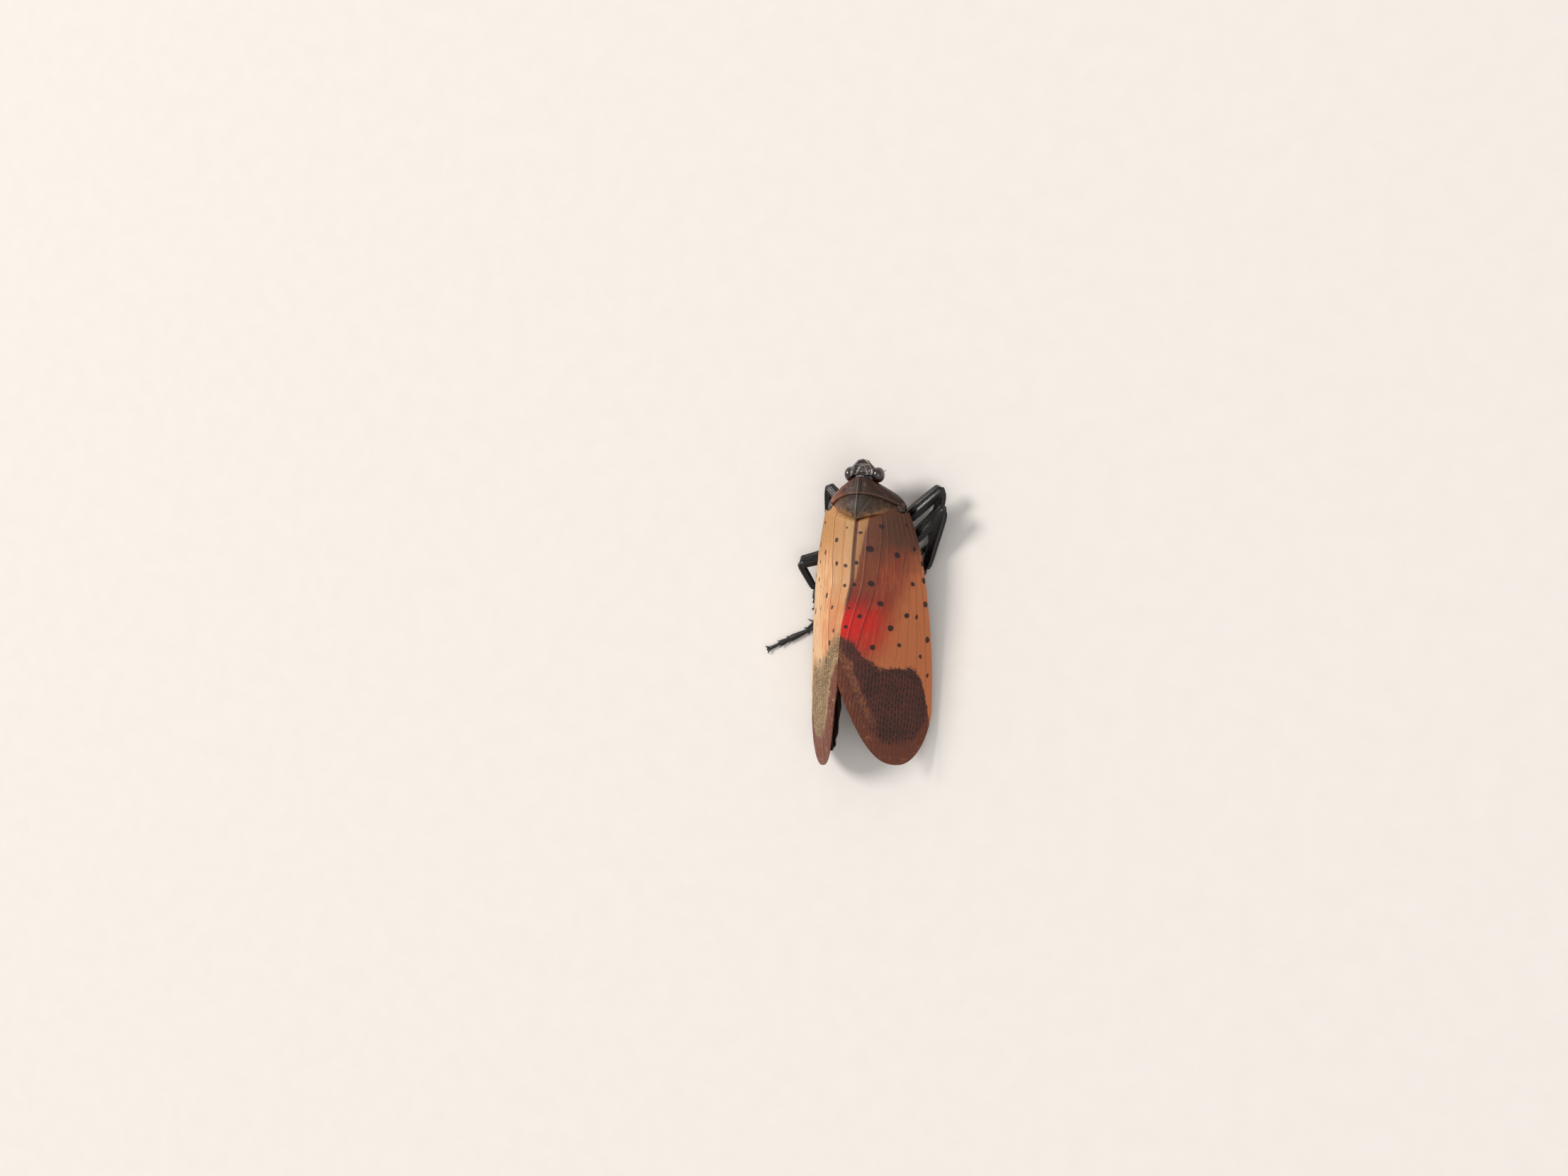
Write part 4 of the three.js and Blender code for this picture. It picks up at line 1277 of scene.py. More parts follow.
@dataclass
class Forewing:
    """A forewing with its veins raised, and the measures that its finish reads."""

    side: Side
    tail_y: float
    blots: list[Blot]
    finish: WingSkin
    slot: str
    glow: float
    roof: Roof = field(default_factory=Roof)
    rows: int = 400
    columns: int = 168
    thick: float = 0.13
    tuck: float = 0.03  # how far its root runs on under the mesonotum, as a share of its length
    tuck_deep: float = 0.32
    tuck_across: float = 0.9
    vein_crest: float = 0.055
    branch_crest: float = 0.035
    scutellar_y: float = -7.27
    apex_across: float = 0.62
    inner_drop: float = 21.5
    inner_power: float = 2.5
    outer_drop: float = 5.2
    claval_lane: float = 0.24
    clavus_root: float = 0.42
    clavus_end: float = 0.06
    net_start: tuple = (
        (0.0, 1.7),
        (0.12, 2.4),
        (0.26, 3.6),
        (0.4, 4.25),
        (0.7, 4.3),
        (0.84, 4.6),
        (0.92, 6.4),
        (1.0, 9.5),
    )
    net_wide: float = 0.3
    net_long: float = 0.5
    net_crest: float = 0.018
    vein_wide: float = 0.07
    branch_wide: float = 0.05
    wave_high: float = 0.018
    # Where the painted glow of light shining through from the hindwing lies, along the body and across the
    # wing.
    glow_centre: tuple = (0.7, 0.1)
    glow_half: tuple = (2.3, 0.36)
    main_lanes: tuple[float, ...] = (0.1, 0.24, 0.36, 0.48, 0.6, 0.72, 0.83, 0.93)
    branches: tuple[tuple[float, float, float], ...] = (
        (0.36, 0.30, 0.34),
        (0.36, 0.42, 0.22),
        (0.48, 0.54, 0.3),
        (0.6, 0.57, 0.46),
        (0.6, 0.66, 0.36),
        (0.72, 0.69, 0.42),
        (0.72, 0.775, 0.27),
        (0.83, 0.8, 0.5),
        (0.83, 0.88, 0.36),
    )

    def start(self, across: np.ndarray) -> np.ndarray:
        """Where the wing starts along the body, for places across it."""
        inner = 0.8 * np.minimum(1, across / 0.77) ** 0.9
        return self.scutellar_y - inner - 0.25 * np.maximum(0, (across - 0.77) / 0.23)

    def end(self, across: np.ndarray) -> np.ndarray:
        """Where the wing ends along the body.

        Args:
            across: Shares across the wing.

        Returns:
            The places along the body.
        """
        away = across - self.apex_across
        share = np.clip(away / (1 - self.apex_across) * 0.985, 0, 1)
        inner = self.inner_drop * np.maximum(0, -away) ** self.inner_power
        return self.tail_y - inner - self.outer_drop * (1 - np.sqrt(1 - share**2))

    def across_of(self, lane: np.ndarray, along: np.ndarray | float) -> np.ndarray:
        """Turns a lane, which fans out from the wing's root, into a share across the wing.

        Args:
            lane: The lanes.
            along: Shares of the wing's length.

        Returns:
            The shares across.
        """
        fold = self.clavus_root + (self.clavus_end - self.clavus_root) * along
        outer = fold + (1 - fold) * (lane - self.claval_lane) / (1 - self.claval_lane)
        return np.where(lane < self.claval_lane, fold * lane / self.claval_lane, outer)

    def apex_border(self, across: np.ndarray) -> np.ndarray:
        """How far back the net of cells starts, for places across the wing."""
        return follow(self.net_start, across.ravel())[:, 0].reshape(across.shape)

    def vein_distance(
        self, across_mm: np.ndarray, along: np.ndarray, lanes: np.ndarray
    ) -> tuple[np.ndarray, ...]:
        """Measures how far each point is from the veins.

        Args:
            across_mm: Millimetres from the ridge, by row and column.
            along: Shares of the wing's length, one for each row.
            lanes: The columns' lanes.

        Returns:
            The distance to the nearest main vein and to the nearest branch.
        """
        main = np.full(across_mm.shape, 9.0)
        branch = np.full(across_mm.shape, 9.0)
        rows = np.arange(len(along))
        for parent, lane, start in [(lane, lane, -1.0) for lane in self.main_lanes] + list(self.branches):
            here = parent + (lane - parent) * smooth_step(start, start + 0.16, along)
            place = here * (len(lanes) - 1)
            low = np.clip(place.astype(int), 0, len(lanes) - 2)
            share = place - low
            middle = across_mm[rows, low] * (1 - share) + across_mm[rows, low + 1] * share
            gap = np.abs(across_mm - middle[:, None]) + 9.0 * (along < start)[:, None]
            target = main if start < 0 else branch
            np.minimum(target, gap, out=target)
        return main, branch

    def net_distance(self, across_mm: np.ndarray, y: np.ndarray) -> np.ndarray:
        """Measures how far each point is from the walls of the small brick-like cells.

        Args:
            across_mm: Millimetres from the ridge.
            y: Places along the body.

        Returns:
            The distances.
        """
        wide, long = self.net_wide, self.net_long
        flat = np.stack([across_mm.ravel(), y.ravel(), 0 * y.ravel()], 1)
        sway = lattice_noise(flat, 1.4, seed=5).reshape(y.shape) * 0.1
        column = (across_mm + sway) / wide
        lane = np.floor(column)
        shift = np.mod(np.sin(lane * 12.9898) * 43758.5453, 1.0)
        row = (y + lattice_noise(flat, 0.7, seed=9).reshape(y.shape) * 0.06) / long + shift
        side = np.abs(column - np.round(column)) * wide
        end = np.abs(row - np.round(row)) * long
        return np.minimum(side, end)

    def spot_distance(self, across_mm: np.ndarray, across: np.ndarray, y: np.ndarray) -> np.ndarray:
        """Measures how far each point is from the edge of the nearest dark spot, less than 0 inside it.

        Args:
            across_mm: Millimetres from the ridge.
            across: Shares across.
            y: Places along the body.

        Returns:
            The distances.
        """
        rate = (across_mm[:, -1] - across_mm[:, 0]) / (across[:, -1] - across[:, 0])
        nearest = np.full(y.shape, 9.0)
        for blot in self.blots:
            x = (across - blot.across) * rate[:, None]
            z = y - blot.y
            c, s = math.cos(math.radians(blot.turn)), math.sin(math.radians(blot.turn))
            reach = np.hypot((x * c + z * s) / blot.wide, (z * c - x * s) / blot.long)
            nearest = np.minimum(nearest, (reach - 1) * min(blot.wide, blot.long))
        return nearest

    def form(self) -> Form:
        """Builds the wing.

        Returns:
            The closed form.
        """
        along = np.linspace(-self.tuck, 1, self.rows)
        lanes = np.linspace(0, 1, self.columns)
        share, lane = np.meshgrid(along, lanes, indexing="ij")
        across = self.across_of(lane, share)
        start = self.start(self.across_of(lane, 0.0))
        end = self.end(self.across_of(lane, 1.0))
        tuck = smooth_step(self.tuck_across, self.tuck_across - 0.2, across)
        y = start + (end - start) * np.where(share < 0, share * tuck, share)
        skin = self.roof.point(self.side, y, across, VEIN_HIGH)
        gaps = np.linalg.norm(np.diff(skin[..., [0, 2]], axis=1), axis=2)
        across_mm = np.concatenate([np.zeros((self.rows, 1)), np.cumsum(gaps, axis=1)], axis=1)
        main, branch = self.vein_distance(across_mm, along, lanes)
        net = self.net_distance(across_mm, y)
        apex = y - self.apex_border(across)
        veins = self.vein_crest * np.exp(-((main / self.vein_wide) ** 2))
        veins = veins * (1 - 0.6 * smooth_step(0, 1, apex))
        branches = self.branch_crest * np.exp(-((branch / self.branch_wide) ** 2))
        walls = self.net_crest * smooth_step(0.07, 0.0, net) * smooth_step(0, 0.5, apex)
        relief = np.maximum(np.maximum(veins, branches), walls)
        waves = self.wave_high * lattice_noise(skin.reshape(-1, 3), 1.2, seed=3).reshape(y.shape)
        rim = np.clip(np.minimum(share + 0.01, 1 - share) / 0.02, 0, 1)
        sink = VEIN_HIGH + self.tuck_deep * smooth_step(0.0, -self.tuck, share)
        outer = self.roof.point(self.side, y, across, sink - relief * rim - np.minimum(0, waves))
        inner = self.roof.point(self.side, y, across, sink + self.thick)
        away = [np.abs(v - c) / half for v, c, half in zip((y, across), self.glow_centre, self.glow_half)]
        glow = self.glow * np.exp(-(away[0] ** 3) - away[1] ** 3)
        values = {
            "place": np.stack([across_mm, y, lane], -1),
            "vein": np.minimum(main, branch + 0.025),
            "spot": self.spot_distance(across_mm, across, y),
            "apex": apex,
            "net": net,
            "edge": (end - y) * 0.8,
            "glow": glow,
        }
        return plate(outer, inner, values)

    def piece(self) -> Piece:
        """The finished wing."""
        name = f"forewing_{self.side.word}"
        return Piece(f"{name}_skin", self.form(), self.finish, self.slot, (name,))


@dataclass
class Hindwing:
    """The pleated hindwing, folded under the forewing."""

    over: Forewing
    start_y: float = -6.5
    inner: float = 0.07
    outer: float = 0.72
    shift: float = 0.05
    short: float = 1.2
    pleats: int = 5
    pleat_high: float = 0.06
    crinkle_high: float = 0.02
    sink: float = 0.9
    thick: float = 0.09
    rows: int = 160
    columns: int = 121

    def form(self) -> Form:
        """Builds the wing.

        Returns:
            The closed form.
        """
        along, lanes = np.linspace(0, 1, self.rows), np.linspace(0, 1, self.columns)
        share, lane = np.meshgrid(along, lanes, indexing="ij")
        across = self.inner + (self.outer - self.inner) * lane
        end = self.over.end(across + self.shift) - self.short
        y = self.start_y + (end - self.start_y) * share
        pleat = self.pleat_high * (1 + np.cos(2 * math.pi * self.pleats * lane))
        flat = np.stack([across * 8, y, 0 * y], -1).reshape(-1, 3)
        crinkle = self.crinkle_high * lattice_noise(flat, 0.8, seed=7).reshape(y.shape)
        roof, side = self.over.roof, self.over.side
        outer = roof.point(side, y, across, self.sink + pleat + crinkle)
        inner = roof.point(side, y, across, self.sink + pleat + crinkle + self.thick)
        return plate(outer, inner, {"place": np.stack([across, y, lane], -1)})

    def piece(self) -> Piece:
        """The finished wing."""
        name = f"hindwing_{self.over.side.word}"
        return Piece(f"{name}_skin", self.form(), HindwingSkin(), "red", (name,))


@dataclass
class Back:
    """The two plates over the thorax, pronotum and mesonotum.

    s runs from the right side, -1, to the left, 1, and t from front to back.
    The pronotum laps over the mesonotum: it ends at the share lap of its own length.
    """

    neck_y: float = -11.0
    seam_y: float = -9.7
    scutellum_y: float = -7.55
    neck_z: float = 5.25
    seam_z: float = 5.45
    scutellum_z: float = 5.62
    neck_half: float = 1.6
    shoulder_half: float = 3.4
    sweep: float = 1.05
    drop: float = 2.25
    seam_gap: float = 0.25
    lap: float = 1.16
    thick: float = 0.22
    rows: int = 90
    columns: int = 200

    def seam(self, s: np.ndarray) -> np.ndarray:
        """Where the two plates meet along the body."""
        return self.seam_y + self.sweep * np.abs(s) ** 2.2

    def pronotum_point(self, s: np.ndarray, t: np.ndarray, sink: np.ndarray | float) -> np.ndarray:
        """Finds points of the pronotum.

        Args:
            s: Shares across.
            t: Shares from front to back.
            sink: Depth below its face.

        Returns:
            The points.
        """
        turn = np.clip(t, 0, 1) * math.pi / 2
        half = self.neck_half + (self.shoulder_half - self.neck_half) * np.sin(turn) ** 0.8
        front = self.neck_y + 0.75 * s * s
        keel = 0.1 * np.maximum(0, 1 - np.abs(s) / 0.09)
        arch = (1.55 + (self.drop - 1.55) * t) * np.abs(s) ** 2.3
        z = self.neck_z + (self.seam_z - self.neck_z) * np.sin(turn) + keel - arch
        lean = (0.5 + 0.5 * t) * 0.55 * s
        return np.stack([s * half - lean * sink, front + (self.seam(s) - front) * t, z - sink], -1)

    def mesonotum_point(self, s: np.ndarray, t: np.ndarray, sink: np.ndarray | float) -> np.ndarray:
        """Finds points of the mesonotum.

        Args:
            s: Shares across.
            t: Shares from front to back.
            sink: Depth below its face.

        Returns:
            The points.
        """
        half = self.shoulder_half - 0.14 - 0.31 * t
        front = self.seam(s) + self.seam_gap
        rear = np.maximum(self.scutellum_y - 0.78 * np.abs(s) ** 0.9, front + 0.22)
        dome = 0.16 * np.sin(math.pi * np.clip(t, 0, 1)) * (1 - s * s)
        arch = (self.drop + (1.75 - self.drop) * t) * s * s
        z = self.seam_z + (self.scutellum_z - self.seam_z) * t + dome - arch
        return np.stack([s * half - 0.5 * s * sink, front + (rear - front) * t, z - sink], -1)

    def grid(self, t_from: float, t_to: float) -> tuple[np.ndarray, np.ndarray]:
        """The shares of a plate's points, with t along the rows."""
        rows, columns = np.linspace(t_from, t_to, self.rows), np.linspace(-1, 1, self.columns)
        t, s = np.meshgrid(rows, columns, indexing="ij")
        return s, t

    @staticmethod
    def traced(surface: Callable, places: tuple, sides: tuple = (-1, 1)) -> list[list[tuple]]:
        """Lays a line over a plate, on each side.

        Args:
            surface: The plate's own function of s, t and depth.
            places: Pairs of s and t on the left side.
            sides: The sides: -1 is the right one and 1 the left one.

        Returns:
            One line for each side.
        """
        return [[tuple(surface(np.array(k * s), np.array(t), 0.0)) for s, t in places] for k in sides]

    def pronotum(self) -> Piece:
        """Builds the pronotum, whose rear margin laps over the next plate.

        Returns:
            The piece.
        """
        s, t = self.grid(0.0, self.lap)
        lip = 0.05 * smooth_step(1.02, 1.1, t) - 0.14 * smooth_step(1.1, self.lap, t)
        thick = self.thick * (1 - 0.7 * smooth_step(0.9, self.lap, t))
        form = plate(
            self.pronotum_point(s, t, -lip),
            self.pronotum_point(s, t, thick - lip),
            {"place": np.stack([s, t / self.lap, 0 * s], -1)},
        )
        side_keels = self.traced(self.pronotum_point, ((0.42, 0.1), (0.5, 0.5), (0.66, 0.9)))
        pits = self.traced(self.pronotum_point, ((0.2, 0.42), (0.2, 0.5)))
        form.raise_along(side_keels, 0.07, 0.035)
        form.raise_along(pits, 0.1, -0.06)
        form.roughen(0.7, 0.018, seed=11)
        return Piece("pronotum_plate", form, PRONOTUM_SKIN, "brown", ("pronotum",))

    def mesonotum(self) -> Piece:
        """Builds the mesonotum, which starts under the pronotum and ends in the scutellum's point.

        Returns:
            The piece.
        """
        s, t = self.grid(-0.2, 1.0)
        sink = 0.1 * smooth_step(0.0, -0.2, t)
        form = plate(
            self.mesonotum_point(s, t, sink),
            self.mesonotum_point(s, t, sink + self.thick),
            {"place": np.stack([s, np.clip(t, 0, 1), 0 * s], -1)},
        )
        keel = self.traced(self.mesonotum_point, ((0.0, 0.0), (0.0, 0.5), (0.0, 0.96)), sides=(1,))
        slants = self.traced(self.mesonotum_point, ((0.34, 0.05), (0.27, 0.4), (0.1, 0.85)))
        dents = self.traced(self.mesonotum_point, ((0.55, 0.15), (0.6, 0.7)))
        form.raise_along(keel, 0.06, 0.03)
        form.raise_along(slants, 0.07, 0.04)
        form.raise_along(dents, 0.2, -0.05)
        form.roughen(0.6, 0.02, seed=13)
        return Piece("mesonotum_plate", form, MESONOTUM_SKIN, "slate", ("mesonotum",))


@dataclass
class Head:
    """The head: a blunt, upturned snout between the eyes, with keels round its crown and down its face.

    Levels give z, front y, back y, front half width and back half width.
    """

    levels: list[tuple] = field(
        default_factory=lambda: [
            (2.5, -10.95, -10.62, 0.2, 0.22),
            (2.75, -11.25, -10.6, 0.34, 0.36),
            (3.2, -11.6, -10.62, 0.5, 0.62),
            (3.7, -11.85, -10.7, 0.6, 0.86),
            (4.2, -12.05, -10.95, 0.62, 1.02),
            (4.5, -12.24, -11.16, 0.6, 1.08),
            (4.75, -12.38, -11.18, 0.56, 1.06),
            (4.92, -12.36, -11.2, 0.48, 0.94),
        ]
    )
    eye_centre: tuple = (1.17, -11.22, 4.26)
    eye_half: tuple = (0.54, 0.63, 0.68)
    eye_turn: tuple = (0.25, 0.12, 0.0)
    feeler_root: tuple = (0.45, -11.2, 3.1)
    feeler_bulb: tuple = (0.85, -11.36, 2.95)
    feeler_tip: tuple = (0.98, -11.8, 2.0)
    beak: tuple = ((0, -10.9, 2.1), (0, -10.2, 1.6), (0, -8.6, 1.25), (0, -6.6, 1.15), (0, -4.7, 1.15))
    beak_stations: tuple = (
        (0, 0.16, 0.16),
        (0.08, 0.26, 0.24),
        (0.3, 0.2, 0.2),
        (0.34, 0.23, 0.22),
        (0.62, 0.17, 0.17),
        (0.66, 0.2, 0.19),
        (0.93, 0.13, 0.13),
        (1, 0.05, 0.05),
    )
    dish: float = 0.12
    crown_keels: tuple = (
        ((0.42, -12.26, 4.93), (0.7, -11.8, 4.93), (0.88, -11.3, 4.9)),
        ((0.12, -11.95, 4.84), (0.4, -11.45, 4.84), (0.5, -11.24, 4.86)),
    )
    face_keels: tuple = (((0.48, -12.3, 4.7), (0.57, -12.0, 4.0), (0.46, -11.6, 3.2), (0.3, -11.2, 2.72)),)
    middle_keels: tuple = (
        ((-0.46, -12.28, 4.92), (0, -12.3, 4.95), (0.46, -12.28, 4.92)),
        ((0, -12.38, 4.8), (0, -12.06, 4.2), (0, -11.86, 3.7), (0, -11.3, 2.75)),
        ((-0.5, -11.98, 4.86), (0, -11.94, 4.83), (0.5, -11.98, 4.86)),
    )

    @staticmethod
    def mirrored(side: Side, point: tuple) -> tuple:
        """A place on the left, taken to a side."""
        return (side.value * point[0], point[1], point[2])

    def ring(self, front_y: float, back_y: float, front: float, back: float) -> np.ndarray:
        """Draws the head's outline at one level, in plan.

        Args:
            front_y: Its front.
            back_y: Its back.
            front: Half width at the front.
            back: Half width at the back.

        Returns:
            Rows of x and y round the outline.
        """
        length = back_y - front_y
        half = [
            (0.62 * front, front_y),
            (front, front_y + 0.16),
            (0.3 * front + 0.7 * back, front_y + 0.45 * length),
            (back, front_y + 0.8 * length),
            (0.8 * back, back_y),
        ]
        left = [(0, front_y - 0.04), *half, (0, back_y + 0.02)]
        loop = np.array(left + [(-x, y) for x, y in reversed(half)])
        count = len(loop)
        rows = [(k, *loop[k % count]) for k in range(-2, count + 3)]
        return follow(rows, np.linspace(0, count, 120, endpoint=False))

    def shell(self) -> Form:
        """Builds the head without eyes and feelers.

        Returns:
            The closed form.
        """
        rings = []
        for z in np.linspace(self.levels[0][0], self.levels[-1][0], 84):
            outline = self.ring(*follow(self.levels, np.array([z]))[0])
            rings.append(np.column_stack([outline, np.full(len(outline), z)]))
        top = rings[-1]
        centre = top.mean(0)
        for share in np.linspace(0.97, 0.04, 22):
            inward = centre + (top - centre) * share
            inward[:, 2] -= self.dish * smooth_step(1.0, 0.6, np.full(len(top), share))
            rings.append(inward)
        return lofted(np.array(rings))

    def keel_lines(self) -> list[list[tuple]]:
        """All the raised edges, on both sides."""
        lines = self.crown_keels + self.face_keels
        paired = [[self.mirrored(side, point) for point in line] for line in lines for side in Side]
        return paired + [list(line) for line in self.middle_keels]

    def head(self) -> Piece:
        """Builds the head with its keels and the rims round the eyes.

        Returns:
            The piece.
        """
        form = self.shell()
        form.raise_along(self.keel_lines(), 0.065, 0.05)
        for side in Side:
            turn = Euler((self.eye_turn[0], side.value * self.eye_turn[1], 0), "ZYX")
            spin = np.array(turn.to_matrix())
            centre = np.array(self.mirrored(side, self.eye_centre))
            away = np.linalg.norm((form.points - centre) @ spin / np.array(self.eye_half), axis=1)
            rim = np.exp(-(((away - 1.14) / 0.1) ** 2))
            # The rims round the eyes are marked as ridge, so the finish paints them pale: a painted highlight
            # along the orbital ridges.
            form.values["ridge"] = np.maximum(form.values["ridge"], 0.8 * rim)
            form.push(0.05 * rim)
        form.roughen(0.28, 0.012, seed=21)
        return Piece("head_shell", form, HEAD_CHITIN, "black", ("head",))

    def eye(self, side: Side) -> Piece:
        """Builds one eye."""
        turn = (self.eye_turn[0], side.value * self.eye_turn[1], 0)
        form = ellipsoid(self.mirrored(side, self.eye_centre), self.eye_half, turn, rings=96, around=128)
        form.roughen(0.5, 0.006, seed=23, octaves=1)
        return Piece(f"eye_{side.word}_lens", form, EyeGlass(), "eye", (f"eye_{side.word}",))

    def antenna(self, side: Side) -> Piece:
        """Builds one feeler: a stalk, the orange swelling and a fine bristle.

        Args:
            side: Which one.

        Returns:
            The piece.
        """
        places = (self.feeler_root, self.feeler_bulb, self.feeler_tip)
        root, bulb, tip = (np.array(self.mirrored(side, place)) for place in places)
        inner = root + (root - bulb) * 0.3
        waist = [(0, 0.2, 0.2), (0.4, 0.17, 0.17), (1, 0.2, 0.2)]
        stalk = Limb([inner, (inner + bulb) / 2, bulb], waist, rings=30).form()
        swelling = ellipsoid(bulb, (0.33, 0.31, 0.32), rings=60, around=80)
        swelling.push(0.012 * np.abs(lattice_noise(swelling.points, 0.09, seed=25, octaves=1)))
        bow = (bulb + tip) / 2 + np.array([0.05 * side.value, -0.05, 0.03])
        taper = [(0, 0.09, 0.09), (0.3, 0.05, 0.05), (1, 0.018, 0.018)]
        bristle = Limb([bulb, bow, tip], taper, rings=40, around=12).form()
        bristle.values["bristle"] = np.ones(len(bristle.points))
        form = joined([stalk, swelling, bristle])
        return Piece(f"antenna_{side.word}_feeler", form, AntennaSkin(), "orange", (f"antenna_{side.word}",))

    def rostrum(self) -> Piece:
        """Builds the jointed beak that runs back between the legs.

        Returns:
            The piece.
        """
        path, stations = list(self.beak), list(self.beak_stations)
        beak = Limb(path, stations, keels=(60, 120, 270), keel_depth=0.14, rings=120)
        form = joined([beak.form(), *beak.bristles((200, 340), 0.35, 0.16, 27)])
        return Piece("rostrum_beak", form, BEAK_CHITIN, "brown", ("rostrum",))

    def pieces(self) -> list[Piece]:
        """All the head's pieces."""
        paired = [make(side) for side in Side for make in (self.eye, self.antenna)]
        return [self.head(), *paired, self.rostrum()]


@dataclass
class Trunk:
    """The thorax with the legs' roots, the abdomen and the scales over the wing hinges."""

    home: np.ndarray
    hinge_centre: tuple = (3.1, -8.6, 3.55)
    hinge_half: tuple = (0.38, 0.48, 0.2)
    hinge_turn: float = 0.9
    neck_centre: tuple = (0.0, -10.95, 4.22)
    neck_half: tuple = (1.05, 0.8, 0.56)
    voxel: float = 0.06

    def thorax(self) -> Piece:
        """Builds the thorax, with the neck that fills the gap behind the head."""
        body = refined("thorax", self.voxel, 5, self.home)
        body.roughen(0.9, 0.03, seed=31)
        neck = ellipsoid(self.neck_centre, self.neck_half).roughen(0.3, 0.02, seed=32)
        return Piece("thorax_body", joined([body, neck]), BODY_CHITIN, "brown", ("thorax",))

    def abdomen(self) -> Piece:
        """Builds the abdomen."""
        form = refined("abdomen", self.voxel, 4, self.home)
        form.values["place"] = form.points.copy()
        form.roughen(0.8, 0.03, seed=33)
        return Piece("abdomen_body", form, BandedSkin(), "yellow", ("abdomen",))

    def tegula(self, side: Side) -> Piece:
        """Builds the scale over one forewing's hinge.

        Args:
            side: Which one.

        Returns:
            The piece.
        """
        centre = Head.mirrored(side, self.hinge_centre)
        form = ellipsoid(centre, self.hinge_half, (0, side.value * self.hinge_turn, 0))
        # The tegula's rim is marked as ridge, which the finish paints lighter: a painted highlight along its
        # edge.
        form.values["ridge"] = np.exp(-((form.values["height"] / 0.16) ** 2))
        form.push(0.03 * form.values["ridge"])
        form.roughen(0.4, 0.02, seed=35)
        return Piece(f"tegula_{side.word}_scale", form, BROWN_CHITIN, "brown", (f"tegula_{side.word}",))

    def pieces(self) -> list[Piece]:
        """All the trunk's pieces."""
        return [self.thorax(), self.abdomen(), *(self.tegula(side) for side in Side)]


